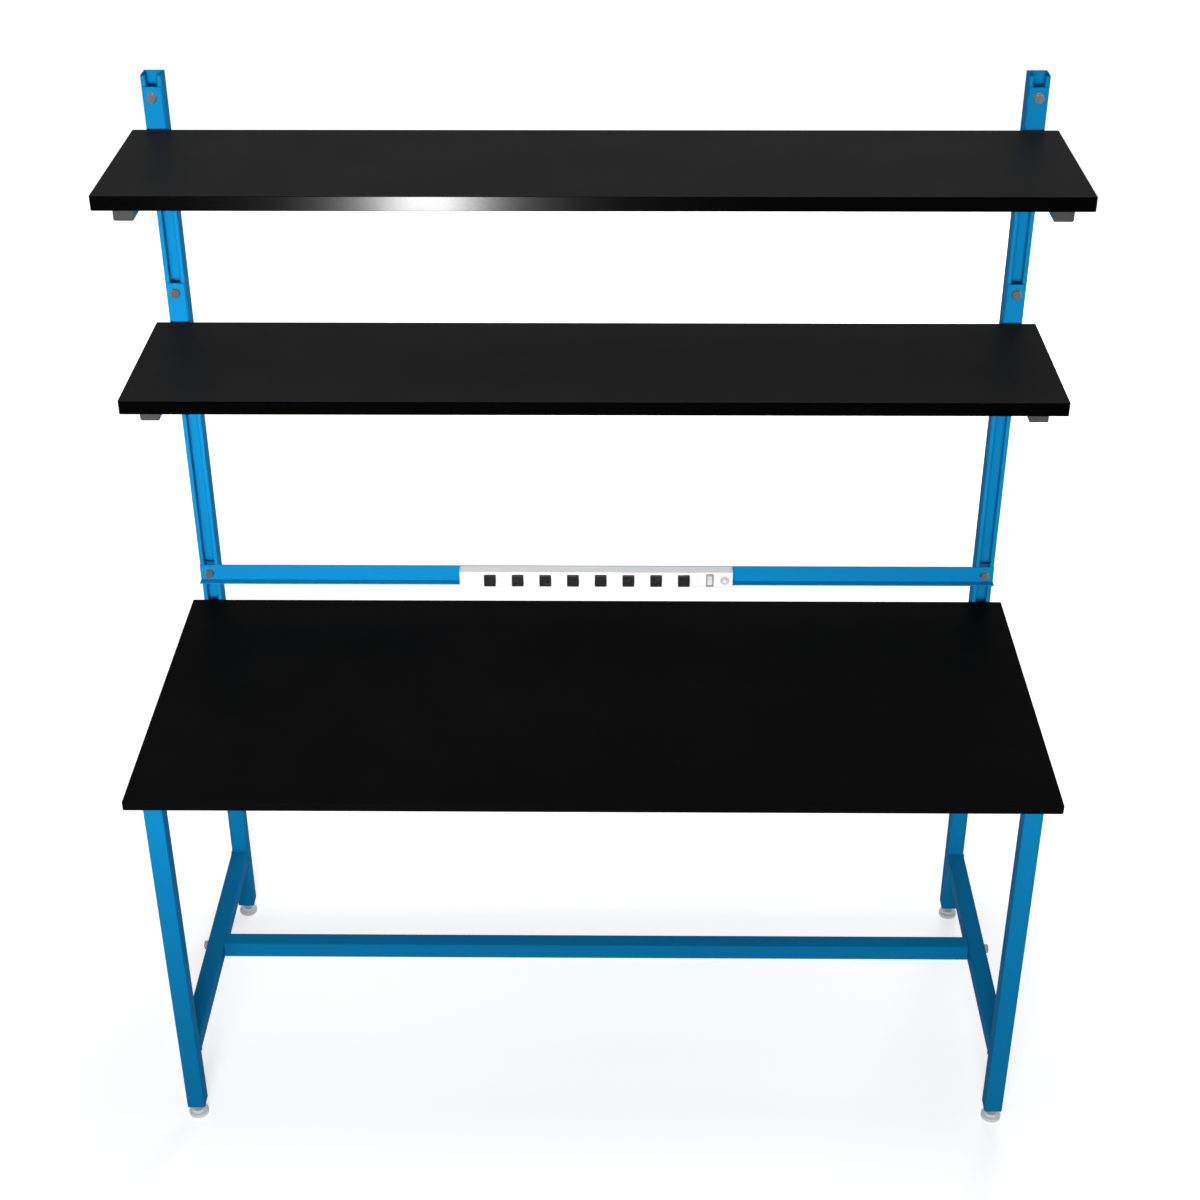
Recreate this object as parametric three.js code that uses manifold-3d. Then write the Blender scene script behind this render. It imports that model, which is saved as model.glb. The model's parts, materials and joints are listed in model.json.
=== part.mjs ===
// Lab bench with two reagent shelves and a power strip, in millimetres.
// X runs along the bench, Y from front to back and Z up from the floor.
// The origin is on the floor, in the middle of the bench's outline.
import * as THREE from "three";
import { mergeVertices } from "three/addons/utils/BufferGeometryUtils.js";
import Module from "manifold-3d";

const wasm = await Module();
wasm.setup();

// Clearances
const seatGap = 0.3; // between faces that are clamped or welded together
const boltClearance = 0.4; // round a bolt in its hole, on the radius
const slideClearance = 0.8; // round a piece that slides in another

// Worktop
const worktopLength = 1828.8;
const worktopDepth = 762;
const worktopThickness = 19.05;
const worktopHeight = 896; // top face above the floor
const slabCorner = 3; // radius of a slab's corners in plan
const slabEase = 1.2; // eased edge round a slab's faces

// Square tube of the legs, stretchers and arms
const tubeSide = 38.1;
const tubeWall = 2.1;
const tubeCorner = 3.2;

// Leg frame
const legEndOverhang = 26; // worktop end to the legs' outer faces
const legFrontOverhang = 45; // worktop front to the front legs
const legClearHeight = 31.75; // floor to the bottom of the leg tube
const stretcherHeight = 203.2; // floor to the stretchers' top faces
const topRailHeight = 25.4;
const footPlateThickness = 6;
const endPlateThickness = 4;

// Levelling foot
const footPadDiameter = 42.5;
const footPadRim = 9;
const footPadLip = 1.5; // rounding of the pad's rim
const footHubDiameter = 27;
const footHubTop = 15;
const footHexAcross = 19;
const footHexHeight = 8;
const footStemDiameter = 12;
const footStemReach = 28; // stem above the bottom of the leg

// Upright of lipped channel
const channelSide = 41.3;
const channelWall = 2.7;
const channelBend = 3.2; // outer radius of the bends
const channelSlot = 22.2;
const channelReturn = 7.1; // depth of the in-turned lips
const uprightLength = 1676.4;
const uprightRise = 1198; // above the worktop
const uprightBoltDrops = [90, 360]; // worktop top to the bolts behind the rear leg

// Bolts and channel nuts
const boltDiameter = 12.7;
const boltHeadAcross = 19.05;
const boltHeadHeight = 8;
const boltFlangeDiameter = 21.4;
const boltFlangeThickness = 2;
const boltTail = 5; // bolt beyond the nut or plate that it screws into
const nutWidth = 34;
const nutHeight = 36.5;
const nutThickness = 9.5;
const nutBossSetback = 1.5; // channel face to the boss in the slot

// Reagent shelves
const shelfEndOverhang = 26; // arm's outer face to the shelf's end
const shelfDepth = 381;
const shelfThickness = 28.6;
const shelfBackGap = 14; // shelf's back edge to the upright
const shelfRises = { upper: 1095, lower: 684.5 }; // shelf top above the worktop

// Shelf bracket
const bracketPlateWidth = 38.1;
const bracketPlateThickness = 4.8;
const bracketPlateCorner = 2;
const bracketPlateRise = 82; // above the shelf top
const bracketPlateDrop = 6; // below the arm
const bracketBoltInset = 20; // plate top to the bolt
const armSetback = 52; // shelf front to the arm's capped end
const weldOverlap = 0.6; // how far welded pieces run into each other
const capFlange = 3;
const capPlugLength = 14;
const capPlugWall = 2;
const capPlugClearance = 0.35;

// Accessory rail
const railRise = 52; // rail's underside above the worktop
const railWebHeight = 39.5;
const railLedgeDepth = 18.5;
const railThickness = 2.7;
const railBend = 3.4;

// Power strip
const stripLength = 609.6;
const stripDepth = 31;
const stripHeight = 38.1;
const stripWall = 1.6;
const stripCorner = 2.4;
const stripCapFlange = 2.4;
const stripCapPlug = 5;
const outletCount = 8;
const outletFirst = 67.8; // strip's left end to the first outlet
const outletSwitchGap = 57.9; // last outlet to the switch
const outletSide = 26;
const outletProud = 7.5;
const outletCorner = 1.6;
const outletBarDepth = 14;
const outletBarMargin = 9; // bar beyond the end outlets' faces
const outletSlotDepth = 13;
const bladeGap = 12.7; // between an outlet's two slots, one above the other
const bladeSlotWidth = 2.2;
const bladeSlots = [
  { row: -1, length: 7 },
  { row: 1, length: 8.6 },
];
const bladeShift = 5.3; // slots to the left of the outlet's middle
const earthDiameter = 5;
const earthShift = 6.6; // earth hole to the right of the outlet's middle

// Rocker switch and reset button on the strip
const switchInset = 51.3; // strip's right end to the switch
const switchWidth = 14.6;
const switchHeight = 30;
const switchFlange = 1.5;
const switchFrameWall = 1.5;
const switchFrameDepth = 12;
const switchCorner = 1.2;
const rockerTilt = 7; // degrees each way
const rockerPivotDepth = 4; // behind the strip's face
const rockerTailDepth = 5; // behind the pivot
const resetInset = 17.8; // strip's right end to the reset button
const resetCollarDiameter = 20;
const resetCollarThickness = 2;
const resetSleeveDiameter = 15.6;
const resetSleeveDepth = 9;
const resetButtonDiameter = 9.4;
const resetButtonProud = 3;
const resetButtonHead = 12.6;
const resetHeadThickness = 2;
const resetDome = 0.8;

// Power inlet in the strip's left end
const inletHeight = 24;
const inletDepth = 16.4;
const inletChamfer = 5;
const inletReach = 16;
const inletPlug = 20;
const inletPin = { width: 2, height: 4, length: 10, pitch: 7, offset: 2 };

// Facets
const leastBend = 0.3; // radius left inside a bend that is tighter than its wall
const mergeDistance = 1e-4;
const bendSegments = 2;
const boltSegments = 12;
const roundSegments = 20;

// Places worked out from the sizes above
const frontFace = -(worktopDepth + seatGap + channelSide) / 2;
const worktopBack = frontFace + worktopDepth;
const channelFace = worktopBack + seatGap;
const worktopUnderside = worktopHeight - worktopThickness;
const legCentreX = worktopLength / 2 - legEndOverhang - tubeSide / 2;
const frontLegY = frontFace + legFrontOverhang + tubeSide / 2;
const rearLegY = worktopBack - tubeSide / 2;
const legTop = worktopUnderside - seatGap;
const legMidY = (frontLegY + rearLegY) / 2;
const legInnerSpan = rearLegY - frontLegY - tubeSide - 2 * seatGap;
const endFrameSpan = 2 * legCentreX - tubeSide - 2 * seatGap;
const shelfLength = 2 * legCentreX + tubeSide + 2 * shelfEndOverhang;
const stretcherCentreZ = stretcherHeight - tubeSide / 2;
const topRailCentreZ = legTop - topRailHeight / 2;
const boltHole = boltDiameter + 2 * boltClearance;
const nutBack = channelReturn + seatGap + nutThickness; // behind the channel's face
const boltBeyondFace = nutBack + boltTail;
const railBack = channelFace - seatGap;
const railFront = railBack - railThickness;
const railBottom = worktopHeight + railRise;
const railBoltZ = railBottom + railWebHeight / 2;
const stripBack = railFront - seatGap;
const stripFace = stripBack - stripDepth;
const stripBottom = railBottom + railThickness + seatGap;
const stripCentreZ = stripBottom + stripHeight / 2;
const housingLength = stripLength - 2 * (stripCapFlange + seatGap);
const outletRun = stripLength - outletFirst - outletSwitchGap - switchInset; // first to last outlet
const outletPitch = outletRun / (outletCount - 1);

const xAxis = new THREE.Vector3(1, 0, 0);
const yAxis = new THREE.Vector3(0, 1, 0);
const zAxis = new THREE.Vector3(0, 0, 1);
const turnFrom = (u, v, w) =>
  new THREE.Quaternion().setFromRotationMatrix(new THREE.Matrix4().makeBasis(u, v, w));
// A profile drawn in x and y and extruded along z is turned to run along the bench's X or Y.
const alongX = turnFrom(yAxis, zAxis, xAxis); // profile x to Y, profile y to Z
const alongY = turnFrom(zAxis, xAxis, yAxis); // profile x to Z, profile y to X

const finish = (color, roughness, metalness = 0) =>
  new THREE.MeshStandardMaterial({ color, roughness, metalness });
const bluePaint = finish(0x0878b4, 0.42);
const blackTop = finish(0x131314, 0.45);
const zincPlate = finish(0x83868a, 0.4, 0.9);
const greyPlastic = finish(0x4a4a4b, 0.6);
const paleNylon = finish(0xd9d9d6, 0.5);
const whitePaint = finish(0xf2f2f0, 0.45);
const blackPlastic = finish(0x242426, 0.5);
const whitePlastic = finish(0xf6f6f4, 0.35);

function solidOf(geometry) {
  const bare = geometry.clone();
  bare.deleteAttribute("normal");
  bare.deleteAttribute("uv");
  const merged = mergeVertices(bare, mergeDistance);
  return new wasm.Manifold(
    new wasm.Mesh({
      numProp: 3,
      vertProperties: merged.attributes.position.array,
      triVerts: new Uint32Array(merged.index.array),
    }),
  );
}

function geometryOf(solid) {
  const mesh = solid.getMesh();
  const geometry = new THREE.BufferGeometry();
  geometry.setAttribute("position", new THREE.BufferAttribute(mesh.vertProperties, 3));
  geometry.setIndex(new THREE.BufferAttribute(mesh.triVerts, 1));
  geometry.computeVertexNormals();
  return geometry;
}

function combine(base, added, removed = []) {
  let solid = solidOf(base);
  for (const piece of added) solid = solid.add(solidOf(piece));
  for (const piece of removed) solid = solid.subtract(solidOf(piece));
  return geometryOf(solid);
}

function roundedRectangle(width, height, radius, outline = new THREE.Shape()) {
  const x = width / 2 - radius;
  const y = height / 2 - radius;
  outline.moveTo(width / 2, -y);
  outline.absarc(x, y, radius, 0, Math.PI / 2);
  outline.absarc(-x, y, radius, Math.PI / 2, Math.PI);
  outline.absarc(-x, -y, radius, Math.PI, 1.5 * Math.PI);
  outline.absarc(x, -y, radius, 1.5 * Math.PI, 2 * Math.PI);
  outline.closePath();
  return outline;
}

// A straight prism of a profile, centred along its length.
function prism(profile, length) {
  const geometry = new THREE.ExtrudeGeometry(profile, {
    depth: length,
    bevelEnabled: false,
    curveSegments: bendSegments,
  });
  return geometry.translate(0, 0, -length / 2);
}

function hollowProfile(width, height, wall, corner) {
  const profile = roundedRectangle(width, height, corner);
  const innerCorner = Math.max(corner - wall, leastBend);
  const bore = roundedRectangle(width - 2 * wall, height - 2 * wall, innerCorner, new THREE.Path());
  profile.holes.push(bore);
  return profile;
}

const tubeProfile = () => hollowProfile(tubeSide, tubeSide, tubeWall, tubeCorner);

// Round bar along z from one height to another.
function roundBar(diameter, from, to, segments = boltSegments) {
  const geometry = new THREE.CylinderGeometry(diameter / 2, diameter / 2, to - from, segments);
  return geometry.rotateX(Math.PI / 2).translate(0, 0, (from + to) / 2);
}

function hexBar(across, from, to) {
  const geometry = new THREE.CylinderGeometry(across / Math.sqrt(3), across / Math.sqrt(3), to - from, 6);
  return geometry.rotateX(Math.PI / 2).translate(0, 0, (from + to) / 2);
}

const turned = (geometry, quaternion) => geometry.applyQuaternion(quaternion);

function place(name, geometry, material, position, quaternion) {
  const mesh = new THREE.Mesh(geometry, material);
  mesh.name = name;
  mesh.position.set(...position);
  if (quaternion) mesh.quaternion.copy(quaternion);
  return mesh;
}

// Slab with eased edges, its top face at z = 0.
function slab(length, depth, thickness) {
  const core = roundedRectangle(length - 2 * slabEase, depth - 2 * slabEase, slabCorner);
  const geometry = new THREE.ExtrudeGeometry(core, {
    depth: thickness - 2 * slabEase,
    bevelSize: slabEase,
    bevelThickness: slabEase,
    bevelSegments: 1,
    curveSegments: bendSegments,
  });
  return geometry.translate(0, 0, slabEase - thickness);
}

// Flanged hex bolt along z: the flange sits on z = 0 and the shank runs down.
function bolt(shankLength) {
  const flange = roundBar(boltFlangeDiameter, 0, boltFlangeThickness, boltSegments);
  const head = hexBar(boltHeadAcross, boltFlangeThickness / 2, boltFlangeThickness + boltHeadHeight);
  const shank = roundBar(boltDiameter, -shankLength, boltFlangeThickness / 2);
  return combine(flange, [head, shank]);
}

// The bolt's head points to the front, or to the bench's left or right end.
const headToFront = turnFrom(xAxis, zAxis, yAxis.clone().negate());
const headToSide = (side) =>
  side > 0 ? turnFrom(yAxis, zAxis, xAxis) : turnFrom(zAxis, yAxis, xAxis.clone().negate());

// Channel nut along z: its wide part bears on the lips' edges and its boss stands in the slot.
function channelNut() {
  const half = nutWidth / 2;
  const bossHalf = channelSlot / 2 - slideClearance;
  const bearing = channelReturn + seatGap;
  const profile = new THREE.Shape();
  profile.moveTo(-bossHalf, nutBossSetback);
  profile.lineTo(bossHalf, nutBossSetback);
  profile.lineTo(bossHalf, bearing);
  profile.lineTo(half, bearing);
  profile.lineTo(half, nutBack);
  profile.lineTo(-half, nutBack);
  profile.lineTo(-half, bearing);
  profile.lineTo(-bossHalf, bearing);
  profile.closePath();
  const thread = turned(roundBar(boltHole, 0, 2 * nutBack), headToFront).translate(0, 2 * nutBack, 0);
  return combine(prism(profile, nutHeight), [], [thread]);
}

// Lipped channel along z, its slot facing -y and its front face at y = 0.
function channel(length) {
  const half = channelSide / 2;
  const slot = channelSlot / 2;
  const inner = half - channelWall;
  const lip = slot + channelWall; // outer side of an in-turned lip
  const outerBend = channelBend;
  const innerBend = channelBend - channelWall;
  const right = Math.PI / 2;
  const profile = new THREE.Shape();
  profile.moveTo(slot, channelReturn);
  profile.lineTo(slot, outerBend);
  profile.absarc(slot + outerBend, outerBend, outerBend, Math.PI, 3 * right);
  profile.absarc(half - outerBend, outerBend, outerBend, -right, 0);
  profile.absarc(half - outerBend, channelSide - outerBend, outerBend, 0, right);
  profile.absarc(outerBend - half, channelSide - outerBend, outerBend, right, Math.PI);
  profile.absarc(outerBend - half, outerBend, outerBend, Math.PI, 3 * right);
  profile.absarc(-slot - outerBend, outerBend, outerBend, -right, 0);
  profile.lineTo(-slot, channelReturn);
  profile.lineTo(-lip, channelReturn);
  profile.lineTo(-lip, channelWall + innerBend);
  profile.absarc(-lip - innerBend, channelWall + innerBend, innerBend, 0, -right, true);
  profile.absarc(innerBend - inner, channelWall + innerBend, innerBend, -right, -Math.PI, true);
  profile.absarc(innerBend - inner, channelSide - channelWall - innerBend, innerBend, Math.PI, right, true);
  profile.absarc(inner - innerBend, channelSide - channelWall - innerBend, innerBend, right, 0, true);
  profile.absarc(inner - innerBend, channelWall + innerBend, innerBend, 0, -right, true);
  profile.absarc(lip + innerBend, channelWall + innerBend, innerBend, -right, -Math.PI, true);
  profile.lineTo(lip, channelReturn);
  profile.closePath();
  return prism(profile, length);
}

// Plate that closes a tube's end, and the hole drilled in it for a screw.
function tubePlate(thickness) {
  const side = tubeSide - 2 * tubeWall + 2 * weldOverlap;
  return prism(roundedRectangle(side, side, tubeCorner - tubeWall + weldOverlap), thickness);
}

function leg(drilledAt) {
  const length = legTop - legClearHeight;
  const plate = tubePlate(footPlateThickness);
  plate.translate(0, 0, (footPlateThickness - length) / 2);
  const stemHole = footStemDiameter + 2 * boltClearance;
  const holes = [roundBar(stemHole, -length / 2 - weldOverlap, 2 * footPlateThickness - length / 2)];
  for (const z of drilledAt) {
    const drill = turned(roundBar(boltHole, -tubeSide, tubeSide), headToFront);
    holes.push(drill.translate(0, 0, z - (legTop + legClearHeight) / 2));
  }
  return combine(prism(tubeProfile(), length), [plate], holes);
}

function levellingFoot() {
  const pad = footPadDiameter / 2;
  const hub = footHubDiameter / 2;
  const outline = new THREE.Path();
  outline.moveTo(0, 0);
  outline.lineTo(pad - footPadLip, 0);
  outline.lineTo(pad, footPadLip);
  outline.lineTo(pad, footPadRim - footPadLip);
  outline.absarc(pad - footPadLip, footPadRim - footPadLip, footPadLip, 0, Math.PI / 2);
  outline.quadraticCurveTo(hub, footPadRim, hub - footPadLip, footHubTop);
  outline.lineTo(0, footHubTop);
  const body = new THREE.LatheGeometry(outline.getPoints(bendSegments), roundSegments);
  body.rotateX(Math.PI / 2);
  const hexTop = footHubTop + footHexHeight;
  const hex = hexBar(footHexAcross, footHubTop - weldOverlap, hexTop);
  const stem = roundBar(footStemDiameter, hexTop - weldOverlap, legClearHeight + footStemReach);
  return combine(body, [hex, stem]);
}

function longStretcher() {
  const tube = prism(tubeProfile(), endFrameSpan);
  const plates = [-1, 1].map((end) => {
    const plate = tubePlate(endPlateThickness);
    return plate.translate(0, 0, (end * (endFrameSpan - endPlateThickness)) / 2);
  });
  return combine(tube, plates, [roundBar(boltHole, -endFrameSpan, endFrameSpan)]);
}

function sideStretcher() {
  // In the turned tube the bench's X is the profile's y.
  const drill = roundBar(boltHole, -tubeSide, tubeSide).rotateX(Math.PI / 2);
  return combine(prism(tubeProfile(), legInnerSpan), [], [drill]);
}

function topRail(length) {
  return prism(hollowProfile(topRailHeight, tubeSide, tubeWall, tubeCorner), length);
}

function topRailAcross(length) {
  return prism(hollowProfile(tubeSide, topRailHeight, tubeWall, tubeCorner), length);
}

// End frame, stretchers and top rails
function legFrame() {
  const group = new THREE.Group();
  const drilledAt = uprightBoltDrops.map((drop) => worktopHeight - drop);
  const legCentreZ = (legTop + legClearHeight) / 2;
  for (const [sideName, side] of [["left", -1], ["right", 1]]) {
    const x = side * legCentreX;
    group.add(place(`leg_front_${sideName}`, leg([]), bluePaint, [x, frontLegY, legCentreZ]));
    group.add(place(`leg_rear_${sideName}`, leg(drilledAt), bluePaint, [x, rearLegY, legCentreZ]));
    group.add(place(`foot_front_${sideName}`, levellingFoot(), paleNylon, [x, frontLegY, 0]));
    group.add(place(`foot_rear_${sideName}`, levellingFoot(), paleNylon, [x, rearLegY, 0]));
    const low = [x, legMidY, stretcherCentreZ];
    group.add(place(`side_stretcher_${sideName}`, sideStretcher(), bluePaint, low, alongY));
    const high = [x, legMidY, topRailCentreZ];
    group.add(place(`top_side_rail_${sideName}`, topRail(legInnerSpan), bluePaint, high, alongY));
    const shank = tubeSide + 2 * seatGap + endPlateThickness + boltTail;
    const head = [x + side * (tubeSide / 2 + seatGap), legMidY, stretcherCentreZ];
    group.add(place(`stretcher_bolt_${sideName}`, bolt(shank), zincPlate, head, headToSide(side)));
  }
  const middle = [0, legMidY, stretcherCentreZ];
  group.add(place("long_stretcher", longStretcher(), bluePaint, middle, alongX));
  const front = [0, frontLegY, topRailCentreZ];
  group.add(place("top_front_rail", topRailAcross(endFrameSpan), bluePaint, front, alongX));
  const rear = [0, rearLegY, topRailCentreZ];
  group.add(place("top_rear_rail", topRailAcross(endFrameSpan), bluePaint, rear, alongX));
  return group;
}

// Uprights with the bolts and nuts that hold them to the rear legs
function uprights() {
  const group = new THREE.Group();
  const centreZ = worktopHeight + uprightRise - uprightLength / 2;
  const shank = tubeSide + 2 * seatGap + boltBeyondFace;
  const headY = rearLegY - tubeSide / 2 - seatGap;
  for (const [sideName, side] of [["left", -1], ["right", 1]]) {
    const x = side * legCentreX;
    const post = channel(uprightLength);
    group.add(place(`upright_${sideName}`, post, bluePaint, [x, channelFace, centreZ]));
    uprightBoltDrops.forEach((drop, row) => {
      const z = worktopHeight - drop;
      const name = `${sideName}_${row + 1}`;
      group.add(place(`upright_bolt_${name}`, bolt(shank), zincPlate, [x, headY, z], headToFront));
      group.add(place(`upright_nut_${name}`, channelNut(), zincPlate, [x, channelFace, z]));
    });
  }
  return group;
}

// Bracket drawn with y = 0 on the plate's back and z = 0 on the arm's top face.
function bracket(armLength) {
  const top = shelfThickness + bracketPlateRise + seatGap;
  const bottom = -(tubeSide + bracketPlateDrop);
  const outline = roundedRectangle(top - bottom, bracketPlateWidth, bracketPlateCorner);
  const plate = turned(prism(outline, bracketPlateThickness), alongY);
  plate.translate(0, -bracketPlateThickness / 2, (top + bottom) / 2);
  const arm = turned(prism(tubeProfile(), armLength + weldOverlap), alongY);
  arm.translate(0, -bracketPlateThickness - (armLength - weldOverlap) / 2, -tubeSide / 2);
  const drill = turned(roundBar(boltHole, -tubeSide, tubeSide), headToFront);
  drill.translate(0, 0, top - bracketBoltInset);
  return combine(plate, [arm], [drill]);
}

// Cap in the open front end of an arm, its face at y = 0 and the plug behind it.
function armCap() {
  const face = prism(roundedRectangle(tubeSide, tubeSide, tubeCorner), capFlange);
  face.translate(0, 0, capFlange / 2);
  const plugSide = tubeSide - 2 * tubeWall - 2 * capPlugClearance;
  const ring = hollowProfile(plugSide, plugSide, capPlugWall, tubeCorner - tubeWall);
  const plug = prism(ring, capPlugLength + weldOverlap);
  plug.translate(0, 0, capFlange + (capPlugLength - weldOverlap) / 2);
  return turned(combine(face, [plug]), alongY);
}

// A reagent shelf on its two brackets
function shelf(name, rise) {
  const group = new THREE.Group();
  const top = worktopHeight + rise;
  const back = channelFace - shelfBackGap;
  const capFace = back - shelfDepth + armSetback;
  const plateBack = channelFace - seatGap;
  const armLength = plateBack - bracketPlateThickness - capFace - capFlange - seatGap;
  const armTop = top - shelfThickness - seatGap;
  const boltZ = top + bracketPlateRise - bracketBoltInset;
  const shank = bracketPlateThickness + 2 * seatGap + boltBeyondFace;
  const headY = plateBack - bracketPlateThickness - seatGap;
  const board = slab(shelfLength, shelfDepth, shelfThickness);
  group.add(place(`${name}_shelf`, board, blackTop, [0, back - shelfDepth / 2, top]));
  for (const [sideName, side] of [["left", -1], ["right", 1]]) {
    const x = side * legCentreX;
    const end = `${name}_${sideName}`;
    group.add(place(`bracket_${end}`, bracket(armLength), bluePaint, [x, plateBack, armTop]));
    group.add(place(`arm_cap_${end}`, armCap(), greyPlastic, [x, capFace, armTop - tubeSide / 2]));
    group.add(place(`bracket_bolt_${end}`, bolt(shank), zincPlate, [x, headY, boltZ], headToFront));
    group.add(place(`bracket_nut_${end}`, channelNut(), zincPlate, [x, channelFace, boltZ]));
  }
  return group;
}

// Angle with its web against the uprights and its ledge to the front, drawn in y and z from its heel.
function accessoryRail() {
  const inner = railBend - railThickness;
  const right = Math.PI / 2;
  const profile = new THREE.Shape();
  profile.moveTo(-railLedgeDepth, 0);
  profile.lineTo(-railBend, 0);
  profile.absarc(-railBend, railBend, railBend, -right, 0);
  profile.lineTo(0, railWebHeight);
  profile.lineTo(-railThickness, railWebHeight);
  profile.lineTo(-railThickness, railBend);
  profile.absarc(-railBend, railBend, inner, 0, -right, true);
  profile.lineTo(-railLedgeDepth, railThickness);
  profile.closePath();
  const angle = turned(prism(profile, 2 * legCentreX + channelSide), alongX);
  const drills = [-1, 1].map((side) => {
    const drill = turned(roundBar(boltHole, -railLedgeDepth, railLedgeDepth), headToFront);
    return drill.translate(side * legCentreX, 0, railWebHeight / 2);
  });
  return combine(angle, [], drills);
}

// Places along the strip, from its middle
const outletPlaces = Array.from(
  { length: outletCount },
  (unused, index) => outletFirst - stripLength / 2 + index * outletPitch,
);
const switchPlace = stripLength / 2 - switchInset;
const resetPlace = stripLength / 2 - resetInset;

// A block through the strip's face, from one depth behind it to another.
function faceBlock(width, height, corner, from, to) {
  const block = turned(prism(roundedRectangle(height, width, corner), to - from), alongY);
  return block.translate(0, (from + to) / 2, 0);
}

function faceRound(diameter, from, to, segments = roundSegments) {
  return turned(roundBar(diameter, -to, -from, segments), headToFront);
}

// Housing of the strip, its face at y = 0 and its middle at z = 0.
function stripHousing() {
  const hollow = hollowProfile(stripDepth, stripHeight, stripWall, stripCorner);
  const shell = turned(prism(hollow, housingLength), alongX).translate(0, stripDepth / 2, 0);
  const window = outletSide + 2 * seatGap;
  const cuts = outletPlaces.map((x) =>
    faceBlock(window, window, outletCorner, -stripWall, 2 * stripWall).translate(x, 0, 0),
  );
  const frame = faceBlock(switchWidth, switchHeight, switchCorner, -stripWall, 2 * stripWall);
  cuts.push(frame.translate(switchPlace, 0, 0));
  const hole = resetSleeveDiameter + 2 * boltClearance;
  cuts.push(faceRound(hole, -stripWall, 2 * stripWall).translate(resetPlace, 0, 0));
  return combine(shell, [], cuts);
}

// One moulding behind the face carries all the outlets through their windows.
function outletBar() {
  const first = outletPlaces[0];
  const last = outletPlaces[outletCount - 1];
  const barFront = stripWall + seatGap;
  const barLength = last - first + outletSide + 2 * outletBarMargin;
  const barHeight = stripHeight - 2 * (stripWall + seatGap);
  const bar = faceBlock(barLength, barHeight, outletCorner, barFront, barFront + outletBarDepth);
  bar.translate((first + last) / 2, 0, 0);
  const faces = [];
  const slots = [];
  for (const x of outletPlaces) {
    const face = faceBlock(outletSide, outletSide, outletCorner, -outletProud, barFront + weldOverlap);
    faces.push(face.translate(x, 0, 0));
    const floor = outletSlotDepth - outletProud;
    for (const { row, length } of bladeSlots) {
      const slot = new THREE.BoxGeometry(length, 2 * outletSlotDepth, bladeSlotWidth);
      slots.push(slot.translate(x - bladeShift, floor - outletSlotDepth, (row * bladeGap) / 2));
    }
    const earth = faceRound(earthDiameter, -outletSlotDepth, floor, boltSegments);
    slots.push(earth.translate(x + earthShift, 0, 0));
  }
  return combine(bar, faces, slots);
}

// End cap of the strip, its face towards +z.
function stripCapBody(plugLength) {
  const face = prism(roundedRectangle(stripDepth, stripHeight, stripCorner), stripCapFlange);
  const inset = 2 * (stripWall + capPlugClearance);
  const plugCorner = stripCorner - stripWall;
  const plug = prism(
    roundedRectangle(stripDepth - inset, stripHeight - inset, plugCorner),
    plugLength + weldOverlap,
  );
  plug.translate(0, 0, -(stripCapFlange + plugLength - weldOverlap) / 2);
  return combine(face, [plug]);
}

function plainStripCap() {
  return turned(stripCapBody(stripCapPlug), alongX);
}

// End cap with a recessed three-pin power inlet
function inletStripCap() {
  const halfY = inletDepth / 2;
  const halfZ = inletHeight / 2;
  const recess = new THREE.Shape();
  recess.moveTo(halfY, -halfZ);
  recess.lineTo(halfY, halfZ);
  recess.lineTo(inletChamfer - halfY, halfZ);
  recess.lineTo(-halfY, halfZ - inletChamfer);
  recess.lineTo(-halfY, inletChamfer - halfZ);
  recess.lineTo(inletChamfer - halfY, -halfZ);
  recess.closePath();
  const outer = stripCapFlange / 2;
  const hollow = prism(recess, 2 * inletReach).translate(0, 0, outer);
  const pins = [-1, 0, 1].map((row) => {
    const length = inletPin.length + weldOverlap;
    const pin = new THREE.BoxGeometry(inletPin.height, inletPin.width, length);
    const shift = row === 0 ? -inletPin.offset : inletPin.offset;
    return pin.translate(shift, row * inletPin.pitch, outer - inletReach - weldOverlap + length / 2);
  });
  const cup = combine(stripCapBody(inletPlug), [], [hollow]);
  return turned(combine(cup, pins), alongX).rotateZ(Math.PI);
}

// Frame round the rocker: a flange on the strip's face and a sleeve behind it.
function switchFrame() {
  const sleeveWidth = switchWidth - 2 * seatGap;
  const sleeveHeight = switchHeight - 2 * seatGap;
  const flangeWidth = switchWidth + 2 * switchFlange;
  const flangeHeight = switchHeight + 2 * switchFlange;
  const flange = faceBlock(flangeWidth, flangeHeight, switchCorner, -switchFlange - seatGap, -seatGap);
  const overlap = -seatGap - weldOverlap;
  const sleeve = faceBlock(sleeveWidth, sleeveHeight, switchCorner, overlap, switchFrameDepth);
  const throat = faceBlock(
    sleeveWidth - 2 * switchFrameWall,
    sleeveHeight - 2 * switchFrameWall,
    switchCorner / 2,
    -switchFrameDepth,
    2 * switchFrameDepth,
  );
  return combine(flange, [sleeve], [throat]);
}

// Rocker drawn about its pivot, its two facets meeting in a shallow valley.
function rocker() {
  const half = switchHeight / 2 - seatGap - switchFrameWall - slideClearance;
  const width = switchWidth - 2 * (seatGap + switchFrameWall + slideClearance / 2);
  const rise = half * Math.tan(THREE.MathUtils.degToRad(rockerTilt));
  const waist = half - slideClearance;
  const profile = new THREE.Shape();
  profile.moveTo(-half, -rockerPivotDepth - rise);
  profile.lineTo(0, -rockerPivotDepth);
  profile.lineTo(half, -rockerPivotDepth - rise);
  profile.lineTo(waist, rockerTailDepth / 2);
  profile.lineTo(0, rockerTailDepth);
  profile.lineTo(-waist, rockerTailDepth / 2);
  profile.closePath();
  // The profile's x is the bench's Z and its y is the bench's Y.
  return turned(prism(profile, width), turnFrom(zAxis, yAxis, xAxis.clone().negate()));
}

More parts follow.
